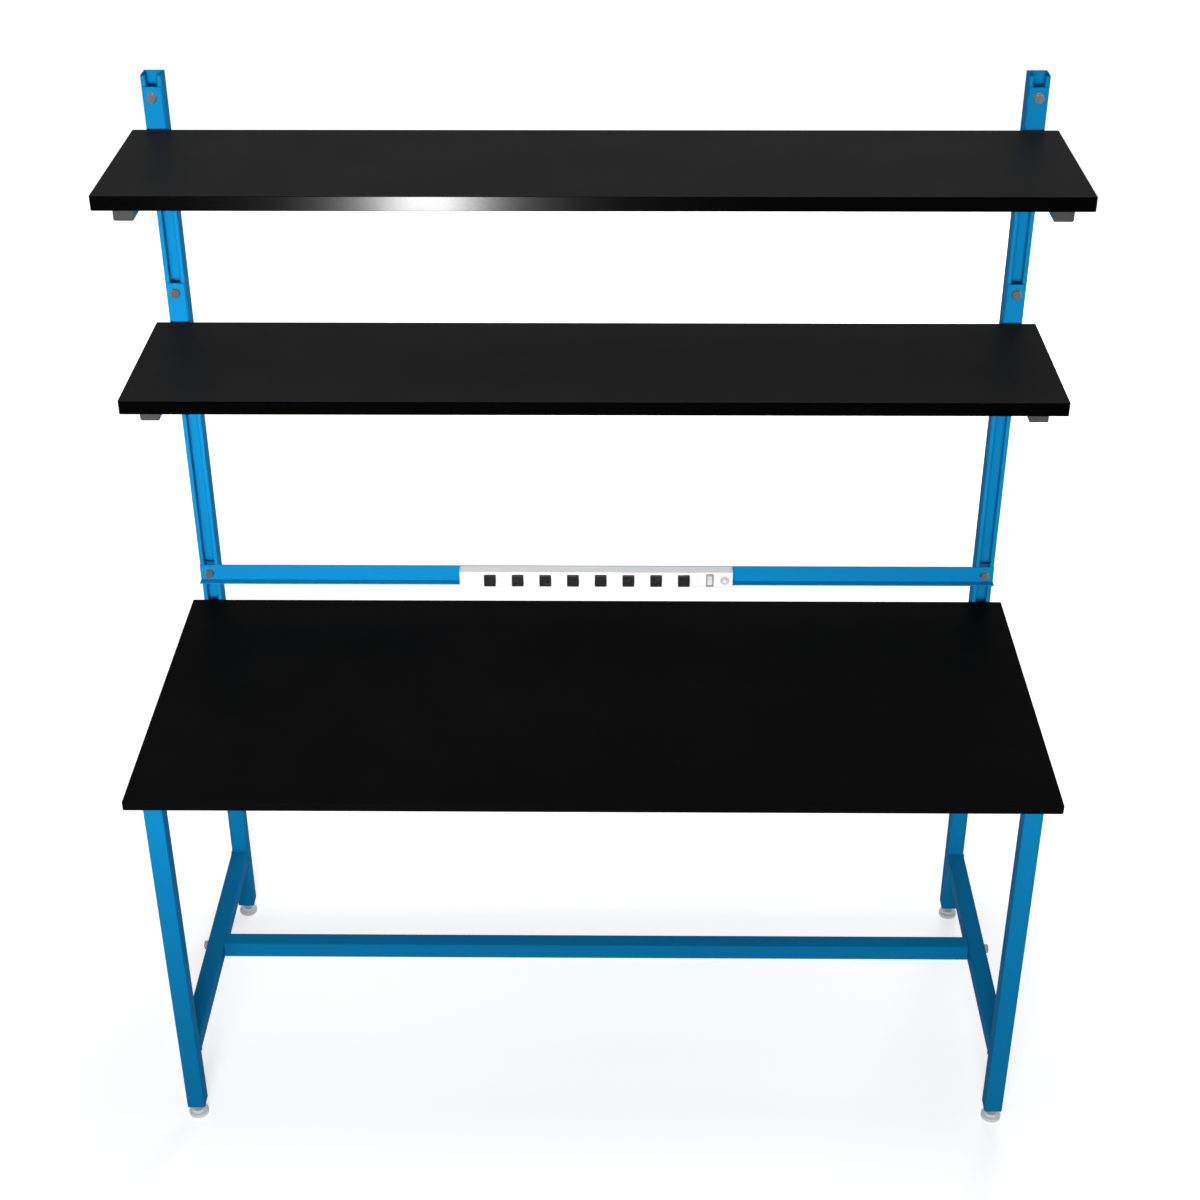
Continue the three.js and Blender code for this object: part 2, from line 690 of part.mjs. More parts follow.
function resetCollar() {
  const flange = faceRound(resetCollarDiameter, -resetCollarThickness - seatGap, -seatGap);
  const overlap = -seatGap - weldOverlap;
  const sleeve = faceRound(resetSleeveDiameter, overlap, resetSleeveDepth);
  const bore = faceRound(resetButtonDiameter + 2 * boltClearance, -resetSleeveDepth, 2 * resetSleeveDepth);
  return combine(flange, [sleeve], [bore]);
}

// Domed button whose head behind the sleeve keeps it in the collar.
function resetButton() {
  const radius = resetButtonDiameter / 2;
  const front = resetButtonProud + resetCollarThickness + seatGap;
  const back = -resetSleeveDepth - seatGap;
  const outline = new THREE.Path();
  outline.moveTo(0, back - resetHeadThickness);
  outline.lineTo(resetButtonHead / 2, back - resetHeadThickness);
  outline.lineTo(resetButtonHead / 2, back);
  outline.lineTo(radius, back);
  outline.lineTo(radius, front - resetDome);
  outline.quadraticCurveTo(radius - resetDome, front, 0, front);
  const body = new THREE.LatheGeometry(outline.getPoints(bendSegments), roundSegments);
  return body.rotateX(Math.PI); // the lathe's axis is Y, and the button's front faces -Y
}

// Rail with the strip, its switch and its reset button
function powerRail() {
  const group = new THREE.Group();
  group.add(place("accessory_rail", accessoryRail(), bluePaint, [0, railBack, railBottom]));
  const shank = railThickness + 2 * seatGap + boltBeyondFace;
  for (const [sideName, side] of [["left", -1], ["right", 1]]) {
    const x = side * legCentreX;
    const head = [x, railFront - seatGap, railBoltZ];
    group.add(place(`rail_bolt_${sideName}`, bolt(shank), zincPlate, head, headToFront));
    group.add(place(`rail_nut_${sideName}`, channelNut(), zincPlate, [x, channelFace, railBoltZ]));
  }
  const strip = new THREE.Group();
  strip.position.set(0, stripFace, stripCentreZ);
  strip.add(place("strip_housing", stripHousing(), whitePaint, [0, 0, 0]));
  strip.add(place("outlet_bar", outletBar(), blackPlastic, [0, 0, 0]));
  const endX = (stripLength - stripCapFlange) / 2;
  strip.add(place("strip_inlet_cap", inletStripCap(), whitePlastic, [-endX, stripDepth / 2, 0]));
  strip.add(place("strip_end_cap", plainStripCap(), whitePlastic, [endX, stripDepth / 2, 0]));
  strip.add(place("switch_frame", switchFrame(), whitePlastic, [switchPlace, 0, 0]));
  const lever = place("switch_rocker", rocker(), whitePlastic, [switchPlace, rockerPivotDepth, 0]);
  lever.rotation.x = THREE.MathUtils.degToRad(rockerTilt);
  strip.add(lever);
  strip.add(place("reset_collar", resetCollar(), whitePlastic, [resetPlace, 0, 0]));
  strip.add(place("reset_button", resetButton(), whitePlastic, [resetPlace, 0, 0]));
  group.add(strip);
  return group;
}

const bench = new THREE.Group();
const worktop = slab(worktopLength, worktopDepth, worktopThickness);
const worktopMiddle = [0, frontFace + worktopDepth / 2, worktopHeight];
bench.add(place("worktop", worktop, blackTop, worktopMiddle));
bench.add(legFrame());
bench.add(uprights());
for (const [name, rise] of Object.entries(shelfRises)) bench.add(shelf(name, rise));
bench.add(powerRail());

export default bench;
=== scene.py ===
import json
import math
import bmesh
import bpy
from mathutils import Matrix, Vector

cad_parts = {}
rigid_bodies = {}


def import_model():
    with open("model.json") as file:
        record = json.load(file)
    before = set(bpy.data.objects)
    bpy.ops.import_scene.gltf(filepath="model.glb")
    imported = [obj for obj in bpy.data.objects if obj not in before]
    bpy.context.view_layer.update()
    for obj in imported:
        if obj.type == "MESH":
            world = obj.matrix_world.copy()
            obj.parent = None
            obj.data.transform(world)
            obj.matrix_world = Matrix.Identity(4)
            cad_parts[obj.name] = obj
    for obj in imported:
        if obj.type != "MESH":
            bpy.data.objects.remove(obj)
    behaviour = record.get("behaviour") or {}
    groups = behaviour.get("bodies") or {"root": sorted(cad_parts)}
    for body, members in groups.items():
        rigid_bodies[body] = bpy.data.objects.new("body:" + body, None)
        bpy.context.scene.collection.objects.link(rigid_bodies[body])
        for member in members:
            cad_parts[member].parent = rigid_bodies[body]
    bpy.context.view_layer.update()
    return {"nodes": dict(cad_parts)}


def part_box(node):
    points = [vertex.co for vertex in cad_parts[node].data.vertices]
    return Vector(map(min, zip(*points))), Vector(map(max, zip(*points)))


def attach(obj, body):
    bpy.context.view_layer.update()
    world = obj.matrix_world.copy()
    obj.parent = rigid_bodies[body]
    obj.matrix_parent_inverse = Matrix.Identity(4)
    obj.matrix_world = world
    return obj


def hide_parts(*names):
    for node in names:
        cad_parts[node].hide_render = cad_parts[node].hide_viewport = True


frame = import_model()
print("frame loaded:", len(frame["nodes"]), "nodes")

sideNames = ["left", "right"]
shelfNames = ["upper", "lower"]
seatGap = 0.0003  # between clamped or welded faces, as in the frame
poleRadius = 1e-5  # closes a turned form at its axis
leastCorner = 0.0002
mergeReach = 1e-6
rimShare = 0.3  # middle point of a small eased edge
cornerSteps = 6
easeSteps = 4
roundSteps = 48
hexSteps = 4  # along each side
sharpFrom = {"bolt": 30, "plain": 35, "form": 40, "cap": 50, "slab": 60, "weld": 80}  # degrees between faces
quarterTurn = math.pi / 2
origin = Vector((0, 0, 0))

# Camera at the photo's place
photoView = {
    "lens": 59.768,
    "place": (0.04998, -3.49519, 3.23789),
    "yaw": 0.01084,
    "pitch": -0.54556,
    "roll": 0.00255,
}


def addObject(name, data):
    piece = bpy.data.objects.new(name, data)
    bpy.context.scene.collection.objects.link(piece)
    return piece


def makeCamera(view):
    data = bpy.data.cameras.new("photoCamera")
    data.lens = view["lens"]
    camera = addObject("photoCamera", data)
    turn = Matrix.Rotation(view["yaw"], 4, "Z") @ Matrix.Rotation(view["pitch"], 4, "X")
    turn = turn @ Matrix.Rotation(view["roll"], 4, "Y") @ Matrix.Rotation(quarterTurn, 4, "X")
    camera.matrix_world = Matrix.Translation(view["place"]) @ turn
    bpy.context.scene.camera = camera


makeCamera(photoView)
bpy.context.scene.view_settings.view_transform = "Standard"
print("camera set")


# A node with its settings, each input linked or set
def addNode(tree, kind, inputs=None, **settings):
    node = tree.nodes.new(kind)
    for label, value in settings.items():
        setattr(node, label, value)
    for label, value in (inputs or {}).items():
        if isinstance(value, bpy.types.NodeSocket):
            tree.links.new(value, node.inputs[label])
        else:
            node.inputs[label].default_value = value
    return node


# Shader groups shared by the finishes
surfaceRules = {
    "fineRatio": 3.7, "patchRatio": 2.3, "speckEdge": 0.8, "speckSoft": 0.12, "facingUp": (0.55, 0.98),
    "dustClouds": (0.38, 0.72, 0.25, 1.0), "scratches": ((0.5, 14.0), (-0.9, 9.0)), "scratchLean": 0.3,
    "scratchEdge": (0.66, 0.74),
}


def groupTree(name, inputs, outputs):
    tree = bpy.data.node_groups.new(name, "ShaderNodeTree")
    for label, value in inputs.items():
        socket = tree.interface.new_socket(label, in_out="INPUT", socket_type="NodeSocketFloat")
        socket.default_value = value
    for label in outputs:
        tree.interface.new_socket(label, in_out="OUTPUT", socket_type="NodeSocketFloat")
    given = tree.nodes.new("NodeGroupInput").outputs
    return tree, given, tree.nodes.new("NodeGroupOutput").inputs


def noiseNode(tree, vector, scale, detail=2.0, roughness=0.5):
    inputs = {"Vector": vector, "Scale": scale, "Detail": detail, "Roughness": roughness}
    return addNode(tree, "ShaderNodeTexNoise", inputs).outputs["Fac"]


def mathNode(tree, operation, *values):
    return addNode(tree, "ShaderNodeMath", dict(enumerate(values)), operation=operation).outputs[0]


def stepNode(tree, value, low, high, toLow=0.0, toHigh=1.0):
    inputs = {"Value": value, "From Min": low, "From Max": high, "To Min": toLow, "To Max": toHigh}
    return addNode(tree, "ShaderNodeMapRange", inputs, interpolation_type="SMOOTHSTEP").outputs["Result"]


def objectPlace(tree):
    return tree.nodes.new("ShaderNodeTexCoord").outputs["Object"]


def makePeelGroup(rules):  # rounded dimples of sprayed and baked paint, or of moulded skin
    tree, given, result = groupTree("surfacePeel", {"Scale": 700.0, "Fine": 0.3}, ["Height"])
    place = objectPlace(tree)
    coarse = noiseNode(tree, place, given["Scale"], detail=1.0)
    fineScale = mathNode(tree, "MULTIPLY", given["Scale"], rules["fineRatio"])
    fine = noiseNode(tree, place, fineScale, detail=1.0)
    tree.links.new(mathNode(tree, "MULTIPLY_ADD", fine, given["Fine"], coarse), result["Height"])
    return tree


def makeDriftGroup(rules):  # slow change of tone and gloss over a surface
    tree, given, result = groupTree("surfaceDrift", {"Scale": 4.0, "Amount": 0.1}, ["Tone", "Gloss"])
    place = objectPlace(tree)
    broad = noiseNode(tree, place, given["Scale"], detail=4.0, roughness=0.6)
    centred = mathNode(tree, "SUBTRACT", broad, 0.5)
    tree.links.new(mathNode(tree, "MULTIPLY_ADD", centred, given["Amount"], 1.0), result["Tone"])
    patchScale = mathNode(tree, "MULTIPLY", given["Scale"], rules["patchRatio"])
    patches = noiseNode(tree, place, patchScale, detail=3.0, roughness=0.65)
    tree.links.new(mathNode(tree, "SUBTRACT", patches, 0.5), result["Gloss"])
    return tree


def makeSpeckleGroup(rules):  # fine grains of pigment or filler
    tree, given, result = groupTree("fineSpeckle", {"Scale": 900.0, "Share": 0.25}, ["Mask"])
    grain = noiseNode(tree, objectPlace(tree), given["Scale"], roughness=0.7)
    edge = mathNode(tree, "SUBTRACT", rules["speckEdge"], given["Share"])
    lifted = mathNode(tree, "SUBTRACT", grain, edge)
    tree.links.new(stepNode(tree, lifted, 0.0, rules["speckSoft"]), result["Mask"])
    return tree


def makeDustGroup(rules):  # dust that settles where a face looks up
    tree, given, result = groupTree("settledDust", {"Amount": 0.1, "Scale": 9.0}, ["Mask"])
    facing = tree.nodes.new("ShaderNodeNewGeometry").outputs["Normal"]
    split = addNode(tree, "ShaderNodeSeparateXYZ", {"Vector": facing})
    upward = stepNode(tree, split.outputs["Z"], *rules["facingUp"])
    clouds = noiseNode(tree, objectPlace(tree), given["Scale"], detail=5.0, roughness=0.62)
    patch = stepNode(tree, clouds, *rules["dustClouds"])
    cover = mathNode(tree, "MULTIPLY", upward, patch)
    tree.links.new(mathNode(tree, "MULTIPLY", cover, given["Amount"]), result["Mask"])
    return tree


def makeScuffGroup(rules):  # thin scratches in two crossing directions
    tree, given, result = groupTree("handlingScuffs", {"Scale": 30.0, "Share": 0.1}, ["Mask"])
    place = objectPlace(tree)
    lines = []
    for angle, stretch in rules["scratches"]:
        turned = {"Vector": place, "Rotation": (angle, rules["scratchLean"] * angle, angle),
                  "Scale": (1.0, stretch, stretch)}
        mapping = addNode(tree, "ShaderNodeMapping", turned)
        streak = noiseNode(tree, mapping.outputs["Vector"], given["Scale"])
        lines.append(stepNode(tree, streak, *rules["scratchEdge"]))
    both = mathNode(tree, "MAXIMUM", *lines)
    tree.links.new(mathNode(tree, "MULTIPLY", both, given["Share"]), result["Mask"])
    return tree


surfacePeel = makePeelGroup(surfaceRules)
surfaceDrift = makeDriftGroup(surfaceRules)
fineSpeckle = makeSpeckleGroup(surfaceRules)
settledDust = makeDustGroup(surfaceRules)
handlingScuffs = makeScuffGroup(surfaceRules)

plainFinish = {
    "drift": 0.08, "driftScale": 3.0, "glossDrift": 0.12, "roughness": 0.45, "metallic": 0.0, "specular": 0.5,
    "coat": 0.0, "coatRoughness": 0.2, "speck": 0.0, "speckScale": 900.0, "speckShare": 0.25,
    "speckColour": (0.3, 0.3, 0.3), "scuff": 0.03, "scuffScale": 18.0, "scuffColour": (0.6, 0.6, 0.6),
    "scuffRough": 0.1, "scuffDepth": 0.4, "dust": 0.02, "dustScale": 7.0, "dustColour": (0.62, 0.61, 0.58),
    "dustRough": 0.5, "peelScale": 600.0, "peelFine": 0.3, "bump": 0.15, "bumpDepth": 0.0004,
}
shaderValues = {"Metallic": "metallic", "Specular IOR Level": "specular", "Coat Weight": "coat",
                "Coat Roughness": "coatRoughness"}


def placeGroup(tree, group, **values):
    return addNode(tree, "ShaderNodeGroup", values, node_tree=group).outputs


def mixColours(tree, factor, first, second):
    inputs = {0: factor, 6: first, 7: (*second, 1.0)}  # a mix node's factor and colours
    return addNode(tree, "ShaderNodeMix", inputs, data_type="RGBA").outputs[2]


# One finish: base colour that drifts, specks, scuffs and dust over it, dimples in its skin
def makeFinish(name, **changes):
    spec = {**plainFinish, **changes}
    material = bpy.data.materials.new(name)
    material.use_nodes = True
    tree = material.node_tree
    shader = tree.nodes["Principled BSDF"]
    drift = placeGroup(tree, surfaceDrift, Scale=spec["driftScale"], Amount=spec["drift"])
    speck = placeGroup(tree, fineSpeckle, Scale=spec["speckScale"], Share=spec["speckShare"])
    scuff = placeGroup(tree, handlingScuffs, Scale=spec["scuffScale"], Share=spec["scuff"])["Mask"]
    dust = placeGroup(tree, settledDust, Amount=spec["dust"], Scale=spec["dustScale"])["Mask"]
    peel = placeGroup(tree, surfacePeel, Scale=spec["peelScale"], Fine=spec["peelFine"])
    base = {0: spec["colour"], "Scale": drift["Tone"]}
    colour = addNode(tree, "ShaderNodeVectorMath", base, operation="SCALE").outputs["Vector"]
    specks = mathNode(tree, "MULTIPLY", speck["Mask"], spec["speck"])
    for mask, tint in ((specks, "speckColour"), (scuff, "scuffColour"), (dust, "dustColour")):
        colour = mixColours(tree, mask, colour, spec[tint])
    rough = mathNode(tree, "MULTIPLY_ADD", drift["Gloss"], spec["glossDrift"], spec["roughness"])
    rough = mathNode(tree, "MULTIPLY_ADD", scuff, spec["scuffRough"], rough)
    rough = mathNode(tree, "MULTIPLY_ADD", dust, spec["dustRough"], rough)
    height = mathNode(tree, "MULTIPLY_ADD", scuff, -spec["scuffDepth"], peel["Height"])
    dimples = {"Strength": spec["bump"], "Distance": spec["bumpDepth"], "Height": height}
    normal = addNode(tree, "ShaderNodeBump", dimples).outputs["Normal"]
    for label, socket in (("Base Color", colour), ("Roughness", rough), ("Normal", normal)):
        tree.links.new(socket, shader.inputs[label])
    for label, key in shaderValues.items():
        shader.inputs[label].default_value = spec[key]
    return material


bluePowderCoat = makeFinish(
    "bluePowderCoat", colour=(0.004, 0.174, 0.390), roughness=0.42, specular=0.0015, drift=0.1, speck=0.12,
    speckScale=1500.0, speckColour=(0.0, 0.24, 0.50), scuff=0.04, scuffColour=(0.01, 0.24, 0.46), dust=0.012,
    dustColour=(0.12, 0.28, 0.42), peelScale=520.0, bump=0.22, bumpDepth=0.0003)
blackResin = makeFinish(
    "blackResin", colour=(0.0022, 0.0022, 0.0023), roughness=0.46, specular=0.006, drift=0.5, driftScale=2.2,
    speck=0.5, speckScale=1300.0, speckShare=0.2, speckColour=(0.005, 0.005, 0.005), scuff=0.05,
    scuffScale=9.0, scuffColour=(0.012, 0.012, 0.012), dust=0.001, peelScale=900.0, bump=0.12,
    bumpDepth=0.0003)
blackLaminate = makeFinish(
    "blackLaminate", colour=(0.0105, 0.0105, 0.0107), roughness=0.5, specular=0.008, drift=0.3,
    driftScale=2.6, speck=0.45, speckScale=1100.0, speckColour=(0.020, 0.020, 0.020), scuff=0.03,
    scuffScale=8.0, scuffColour=(0.035, 0.035, 0.035), dust=0.002, peelScale=1300.0, peelFine=0.5, bump=0.2,
    bumpDepth=0.0003)
blackEdgeBand = makeFinish(
    "blackEdgeBand", colour=(0.0006, 0.0006, 0.0006), roughness=0.17, specular=0.003, drift=0.3,
    glossDrift=0.04, scuff=0.02, scuffColour=(0.006, 0.006, 0.006), dust=0.0, peelScale=900.0, bump=0.03)
zincPlate = makeFinish(
    "zincPlate", colour=(0.320, 0.306, 0.288), roughness=0.5, metallic=1.0, drift=0.35, driftScale=60.0,
    glossDrift=0.3, speck=0.3, speckScale=700.0, speckColour=(0.17, 0.17, 0.17), scuff=0.15, scuffScale=80.0,
    scuffColour=(0.45, 0.45, 0.45), peelScale=900.0, bump=0.2)
# Nut zinc: a lighter copy of the bolts' zinc, painted light that lifts the nuts' tops where they sit in the
# shade of the channel slot
nutZinc = makeFinish(
    "nutZinc", colour=(0.52, 0.52, 0.52), roughness=0.45, metallic=1.0, drift=0.3, driftScale=50.0,
    glossDrift=0.3, speck=0.2, speckScale=700.0, speckColour=(0.36, 0.36, 0.36), scuff=0.12, scuffScale=80.0,
    peelScale=900.0, bump=0.2)
capPlastic = makeFinish(
    "capPlastic", colour=(0.043, 0.043, 0.043), roughness=0.55, specular=0.12, drift=0.15, driftScale=25.0,
    peelScale=1800.0, bump=0.3, bumpDepth=0.0002, dust=0.01)
paleNylon = makeFinish(
    "paleNylon", colour=(0.80, 0.80, 0.79), roughness=0.48, drift=0.10, driftScale=30.0, scuff=0.06,
    scuffScale=60.0, scuffColour=(0.50, 0.50, 0.49), dust=0.06, dustColour=(0.60, 0.59, 0.57),
    peelScale=1500.0, bump=0.15)
stemSteel = makeFinish(
    "stemSteel", colour=(0.46, 0.46, 0.47), roughness=0.34, metallic=1.0, drift=0.3, driftScale=70.0,
    glossDrift=0.3, scuff=0.1, scuffScale=90.0, peelScale=1100.0)
stripEnamel = makeFinish(
    "stripEnamel", colour=(0.70, 0.702, 0.705), roughness=0.4, specular=0.3, drift=0.05, speck=0.1,
    speckScale=1400.0, speckColour=(0.63, 0.63, 0.63), scuff=0.03, scuffColour=(0.7, 0.7, 0.7),
    peelScale=650.0, bump=0.18, bumpDepth=0.0003, dust=0.03)
outletBlack = makeFinish(
    "outletBlack", colour=(0.016, 0.016, 0.017), roughness=0.46, specular=0.2, drift=0.25, driftScale=30.0,
    peelScale=1900.0, bump=0.25, bumpDepth=0.0002)
whiteMoulding = makeFinish(
    "whiteMoulding", colour=(0.62, 0.62, 0.61), roughness=0.32, specular=0.45, drift=0.05, driftScale=20.0,
    peelScale=1900.0, bump=0.12, bumpDepth=0.0002)
greyMoulding = makeFinish(
    "greyMoulding", colour=(0.27, 0.27, 0.275), roughness=0.42, specular=0.4, drift=0.08, driftScale=25.0,
    peelScale=1900.0, bump=0.18, bumpDepth=0.0002)
# Reset collar: the white moulding made darker, painted shade standing in for the shade inside the collar's
# dish
paleMoulding = makeFinish(
    "paleMoulding", colour=(0.46, 0.46, 0.465), roughness=0.36, specular=0.35, drift=0.06, driftScale=25.0,
    peelScale=1900.0, bump=0.14, bumpDepth=0.0002)
contactMetal = makeFinish(
    "contactMetal", colour=(0.62, 0.60, 0.54), roughness=0.3, metallic=1.0, drift=0.2, driftScale=120.0,
    peelScale=1200.0, bump=0.1)
print("finishes made")


# Mesh helpers: a shape is points and faces, skinned from loops of equal length
def newShape():
    return {"points": [], "faces": []}


def skin(shape, loops, ring=False, caps=True):
    first, count, rows = len(shape["points"]), len(loops[0]), len(loops)
    for loop in loops:
        shape["points"].extend(loop)
    for row in range(rows if ring else rows - 1):
        here, there = first + row * count, first + (row + 1) % rows * count
        for i in range(count):
            j = (i + 1) % count
            shape["faces"].append((here + i, here + j, there + j, there + i))
    if caps and not ring:
        for start in (first, first + (rows - 1) * count):
            shape["faces"].append(tuple(range(start, start + count)))
    return shape


def smoothOver(mesh, sharp):
    mesh.shade_smooth()
    mesh.set_sharp_from_angle(angle=math.radians(sharpFrom[sharp]))
    return mesh


def makeMesh(name, shape, finish, sharp="plain"):
    mesh = bpy.data.meshes.new(name)
    mesh.from_pydata([tuple(p) for p in shape["points"]], [], shape["faces"])
    work = bmesh.new()
    work.from_mesh(mesh)
    bmesh.ops.remove_doubles(work, verts=work.verts, dist=mergeReach)
    bmesh.ops.recalc_face_normals(work, faces=work.faces)
    work.to_mesh(mesh)
    work.free()
    mesh.materials.append(finish)
    return smoothOver(mesh, sharp)


def plainMesh(piece):  # the mesh that the piece's modifiers give
    bpy.context.view_layer.update()
    return bpy.data.meshes.new_from_object(piece.evaluated_get(bpy.context.evaluated_depsgraph_get()))


def settleNormals(piece):  # wide faces shade flat, the eased edges between them stay soft
    step = piece.modifiers.new("settle", "WEIGHTED_NORMAL")
    step.keep_sharp = True
    mesh = plainMesh(piece)
    piece.modifiers.remove(step)
    piece.data = mesh
    mesh.name = piece.name


def dress(piece, body, slot, *nodes):
    settleNormals(piece)
    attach(piece, body)
    if nodes:
        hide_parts(*nodes)


def makePiece(name, shape, finish, sharp, body, slot, *nodes):
    dress(addObject(name, makeMesh(name, shape, finish, sharp)), body, slot, *nodes)


def nodeCentre(node):
    low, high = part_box(node)
    return (low + high) / 2


def nodeSize(node):
    low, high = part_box(node)
    return high - low


def nodeBox(node):
    return *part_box(node), nodeCentre(node), nodeSize(node)


def crossSize(axis, low, high):
    return [high[i] - low[i] for i in range(3) if i != "xyz".index(axis)]


def lay(loop, axis, at, centre):  # a flat loop set square to an axis
    if axis == "x":
        return [Vector((at, centre[1] + u, centre[2] + v)) for u, v in loop]
    if axis == "y":
        return [Vector((centre[0] + u, at, centre[2] + v)) for u, v in loop]
    return [Vector((centre[0] + u, centre[1] + v, at)) for u, v in loop]


def arcPoints(centreU, centreV, radius, start, stop, steps):
    turns = [start + (stop - start) * i / steps for i in range(steps + 1)]
    return [(centreU + radius * math.cos(a), centreV + radius * math.sin(a)) for a in turns]


def roundedLoop(width, height, radius, steps=cornerSteps):
    u, v = width / 2 - radius, height / 2 - radius
    loop = []
    for k, (signU, signV) in enumerate(((1, 1), (-1, 1), (-1, -1), (1, -1))):
        loop += arcPoints(signU * u, signV * v, radius, k * quarterTurn, (k + 1) * quarterTurn, steps)
    return loop


def circleLoop(radius, count, turn=0.0):
    turns = [turn + 2 * math.pi * i / count for i in range(count)]
    return [(radius * math.cos(a), radius * math.sin(a)) for a in turns]


def hexLoop(across):
    corners = circleLoop(across / math.sqrt(3), 6)
    loop = []
    for i in range(6):
        (u, v), (nextU, nextV) = corners[i], corners[(i + 1) % 6]
        loop += [(u + (nextU - u) * k / hexSteps, v + (nextV - v) * k / hexSteps) for k in range(hexSteps)]
    return loop


# Rounded box swept round its plan: every profile step is (inset, place along the axis)
def sweptBlock(shape, axis, centre, width, height, corner, steps, segments=cornerSteps, ring=False):
    loops = []
    for inset, at in steps:
        radius = max(corner - inset, leastCorner)
        loop = roundedLoop(width - 2 * inset, height - 2 * inset, radius, segments)
        loops.append(lay(loop, axis, at, centre))
    return skin(shape, loops, ring)


def easedSteps(start, stop, ease, segments=easeSteps):
    turns = [quarterTurn * i / segments for i in range(segments + 1)]
    sign = 1 if stop > start else -1
    opening = [(ease * (1 - math.sin(a)), start + sign * ease * (1 - math.cos(a))) for a in turns]
    closing = [(inset, start + stop - at) for inset, at in reversed(opening)]
    return opening + closing


def easedRim(face, ease, sign=1):
    return [(ease, face), (rimShare * ease, face + sign * rimShare * ease), (0, face + sign * ease)]


# Form turned round an axis from a profile of (radius, place)
def turnedForm(shape, profile, centre, axis="z", count=roundSteps, ring=False):
    loops = [lay(circleLoop(max(r, poleRadius), count), axis, at, centre) for r, at in profile]
    return skin(shape, loops, ring)


# Bent sheet of even wall from its outer and inner runs, its cut ends closed
def bentSheet(axis, outer, inner, start, stop, burr, centre):
    strip, count = outer + list(reversed(inner)), len(outer)
    ends = (start, start + burr, stop - burr, stop)
    shape = skin(newShape(), [lay(strip, axis, at, centre) for at in ends], caps=False)
    for first in (0, (len(ends) - 1) * len(strip)):
        for i in range(count - 1):
            mirror = 2 * count - 1 - i
            shape["faces"].append((first + i, first + i + 1, first + mirror - 1, first + mirror))
    return shape


tubeStock = {"wall": 0.0021, "corner": 0.0032, "burr": 0.0004, "segments": 6}


# Square tube from one end to the other, its cut ends lightly deburred
def tube(shape, axis, low, high, stock=tubeStock):
    wall, corner, burr = stock["wall"], stock["corner"], stock["burr"]
    width, height = crossSize(axis, low, high)
    outer, eased, inner = [
        roundedLoop(width - 2 * inset, height - 2 * inset, corner - inset, stock["segments"])
        for inset in (0, burr, wall)]
    start, stop = [end["xyz".index(axis)] for end in (low, high)]
    rows = [(eased, start), (outer, start + burr), (outer, stop - burr), (eased, stop)]
    rows += [(inner, stop), (inner, start)]
    return skin(shape, [lay(loop, axis, at, (low + high) / 2) for loop, at in rows], ring=True)


def cutAway(name, shape, cuts, finish):
    target = addObject(name, makeMesh(name + "Solid", shape, finish))
    knife = addObject(name + "Cutter", makeMesh(name + "Cuts", cuts, finish))
    step = target.modifiers.new("cut", "BOOLEAN")
    step.operation = "DIFFERENCE"
    step.solver = "EXACT"
    step.object = knife
    result = smoothOver(plainMesh(target), "plain")
    for piece in (target, knife):
        bpy.data.objects.remove(piece)
    result.name = name
    return result


# Geometry Nodes: what repeats is placed on points, and weld ripples follow a seam
def geometryTree(name, sockets):
    tree = bpy.data.node_groups.new(name, "GeometryNodeTree")
    tree.interface.new_socket("Geometry", in_out="INPUT", socket_type="NodeSocketGeometry")
    for label, kind in sockets.items():
        tree.interface.new_socket(label, in_out="INPUT", socket_type="NodeSocket" + kind)
    tree.interface.new_socket("Geometry", in_out="OUTPUT", socket_type="NodeSocketGeometry")
    return tree, tree.nodes.new("NodeGroupInput").outputs


def endTree(tree, geometry, finish):
    real = addNode(tree, "GeometryNodeRealizeInstances", {"Geometry": geometry}).outputs["Geometry"]
    paint = addNode(tree, "GeometryNodeSetMaterial", {"Geometry": real, "Material": finish})
    addNode(tree, "NodeGroupOutput", {"Geometry": paint.outputs["Geometry"]})
    return tree


def namedField(tree, name, kind):
    field = addNode(tree, "GeometryNodeInputNamedAttribute", {"Name": name}, data_type=kind)
    return field.outputs["Attribute"]


def turnField(tree):
    euler = namedField(tree, "turn", "FLOAT_VECTOR")
    return addNode(tree, "FunctionNodeEulerToRotation", {"Euler": euler}).outputs["Rotation"]


def pieceInfo(tree, socket):
    return addNode(tree, "GeometryNodeObjectInfo", {"Object": socket}).outputs["Geometry"]


def instanceNode(tree, points, piece, rotation, **more):
    inputs = {"Points": points, "Instance": piece, "Rotation": rotation, **more}
    return addNode(tree, "GeometryNodeInstanceOnPoints", inputs).outputs["Instances"]


def makeBoltTree():  # heads on points, each with a shank as long as its point says
    tree, given = geometryTree("boltSet", {"Head": "Object", "Shank Radius": "Float", "Finish": "Material"})
    points, turn = given["Geometry"], turnField(tree)
    heads = instanceNode(tree, points, pieceInfo(tree, given["Head"]), turn)
    rodSize = {"Vertices": 20, "Depth": 1.0, "Radius": given["Shank Radius"]}
    rod = addNode(tree, "GeometryNodeMeshCylinder", rodSize).outputs["Mesh"]
    hung = addNode(tree, "GeometryNodeTransform", {"Geometry": rod, "Translation": (0, 0, -0.5)})
    length = {"X": 1.0, "Y": 1.0, "Z": namedField(tree, "shank", "FLOAT")}
    stretch = addNode(tree, "ShaderNodeCombineXYZ", length).outputs["Vector"]
    shanks = instanceNode(tree, points, hung.outputs["Geometry"], turn, Scale=stretch)
    both = tree.nodes.new("GeometryNodeJoinGeometry")
    for part in (shanks, heads):
        tree.links.new(part, both.inputs["Geometry"])
    return endTree(tree, both.outputs["Geometry"], given["Finish"])


def makeRepeatTree():  # one piece set down on every point
    tree, given = geometryTree("repeatSet", {"Piece": "Object", "Finish": "Material"})
    placed = instanceNode(tree, given["Geometry"], pieceInfo(tree, given["Piece"]), turnField(tree))
    return endTree(tree, placed, given["Finish"])


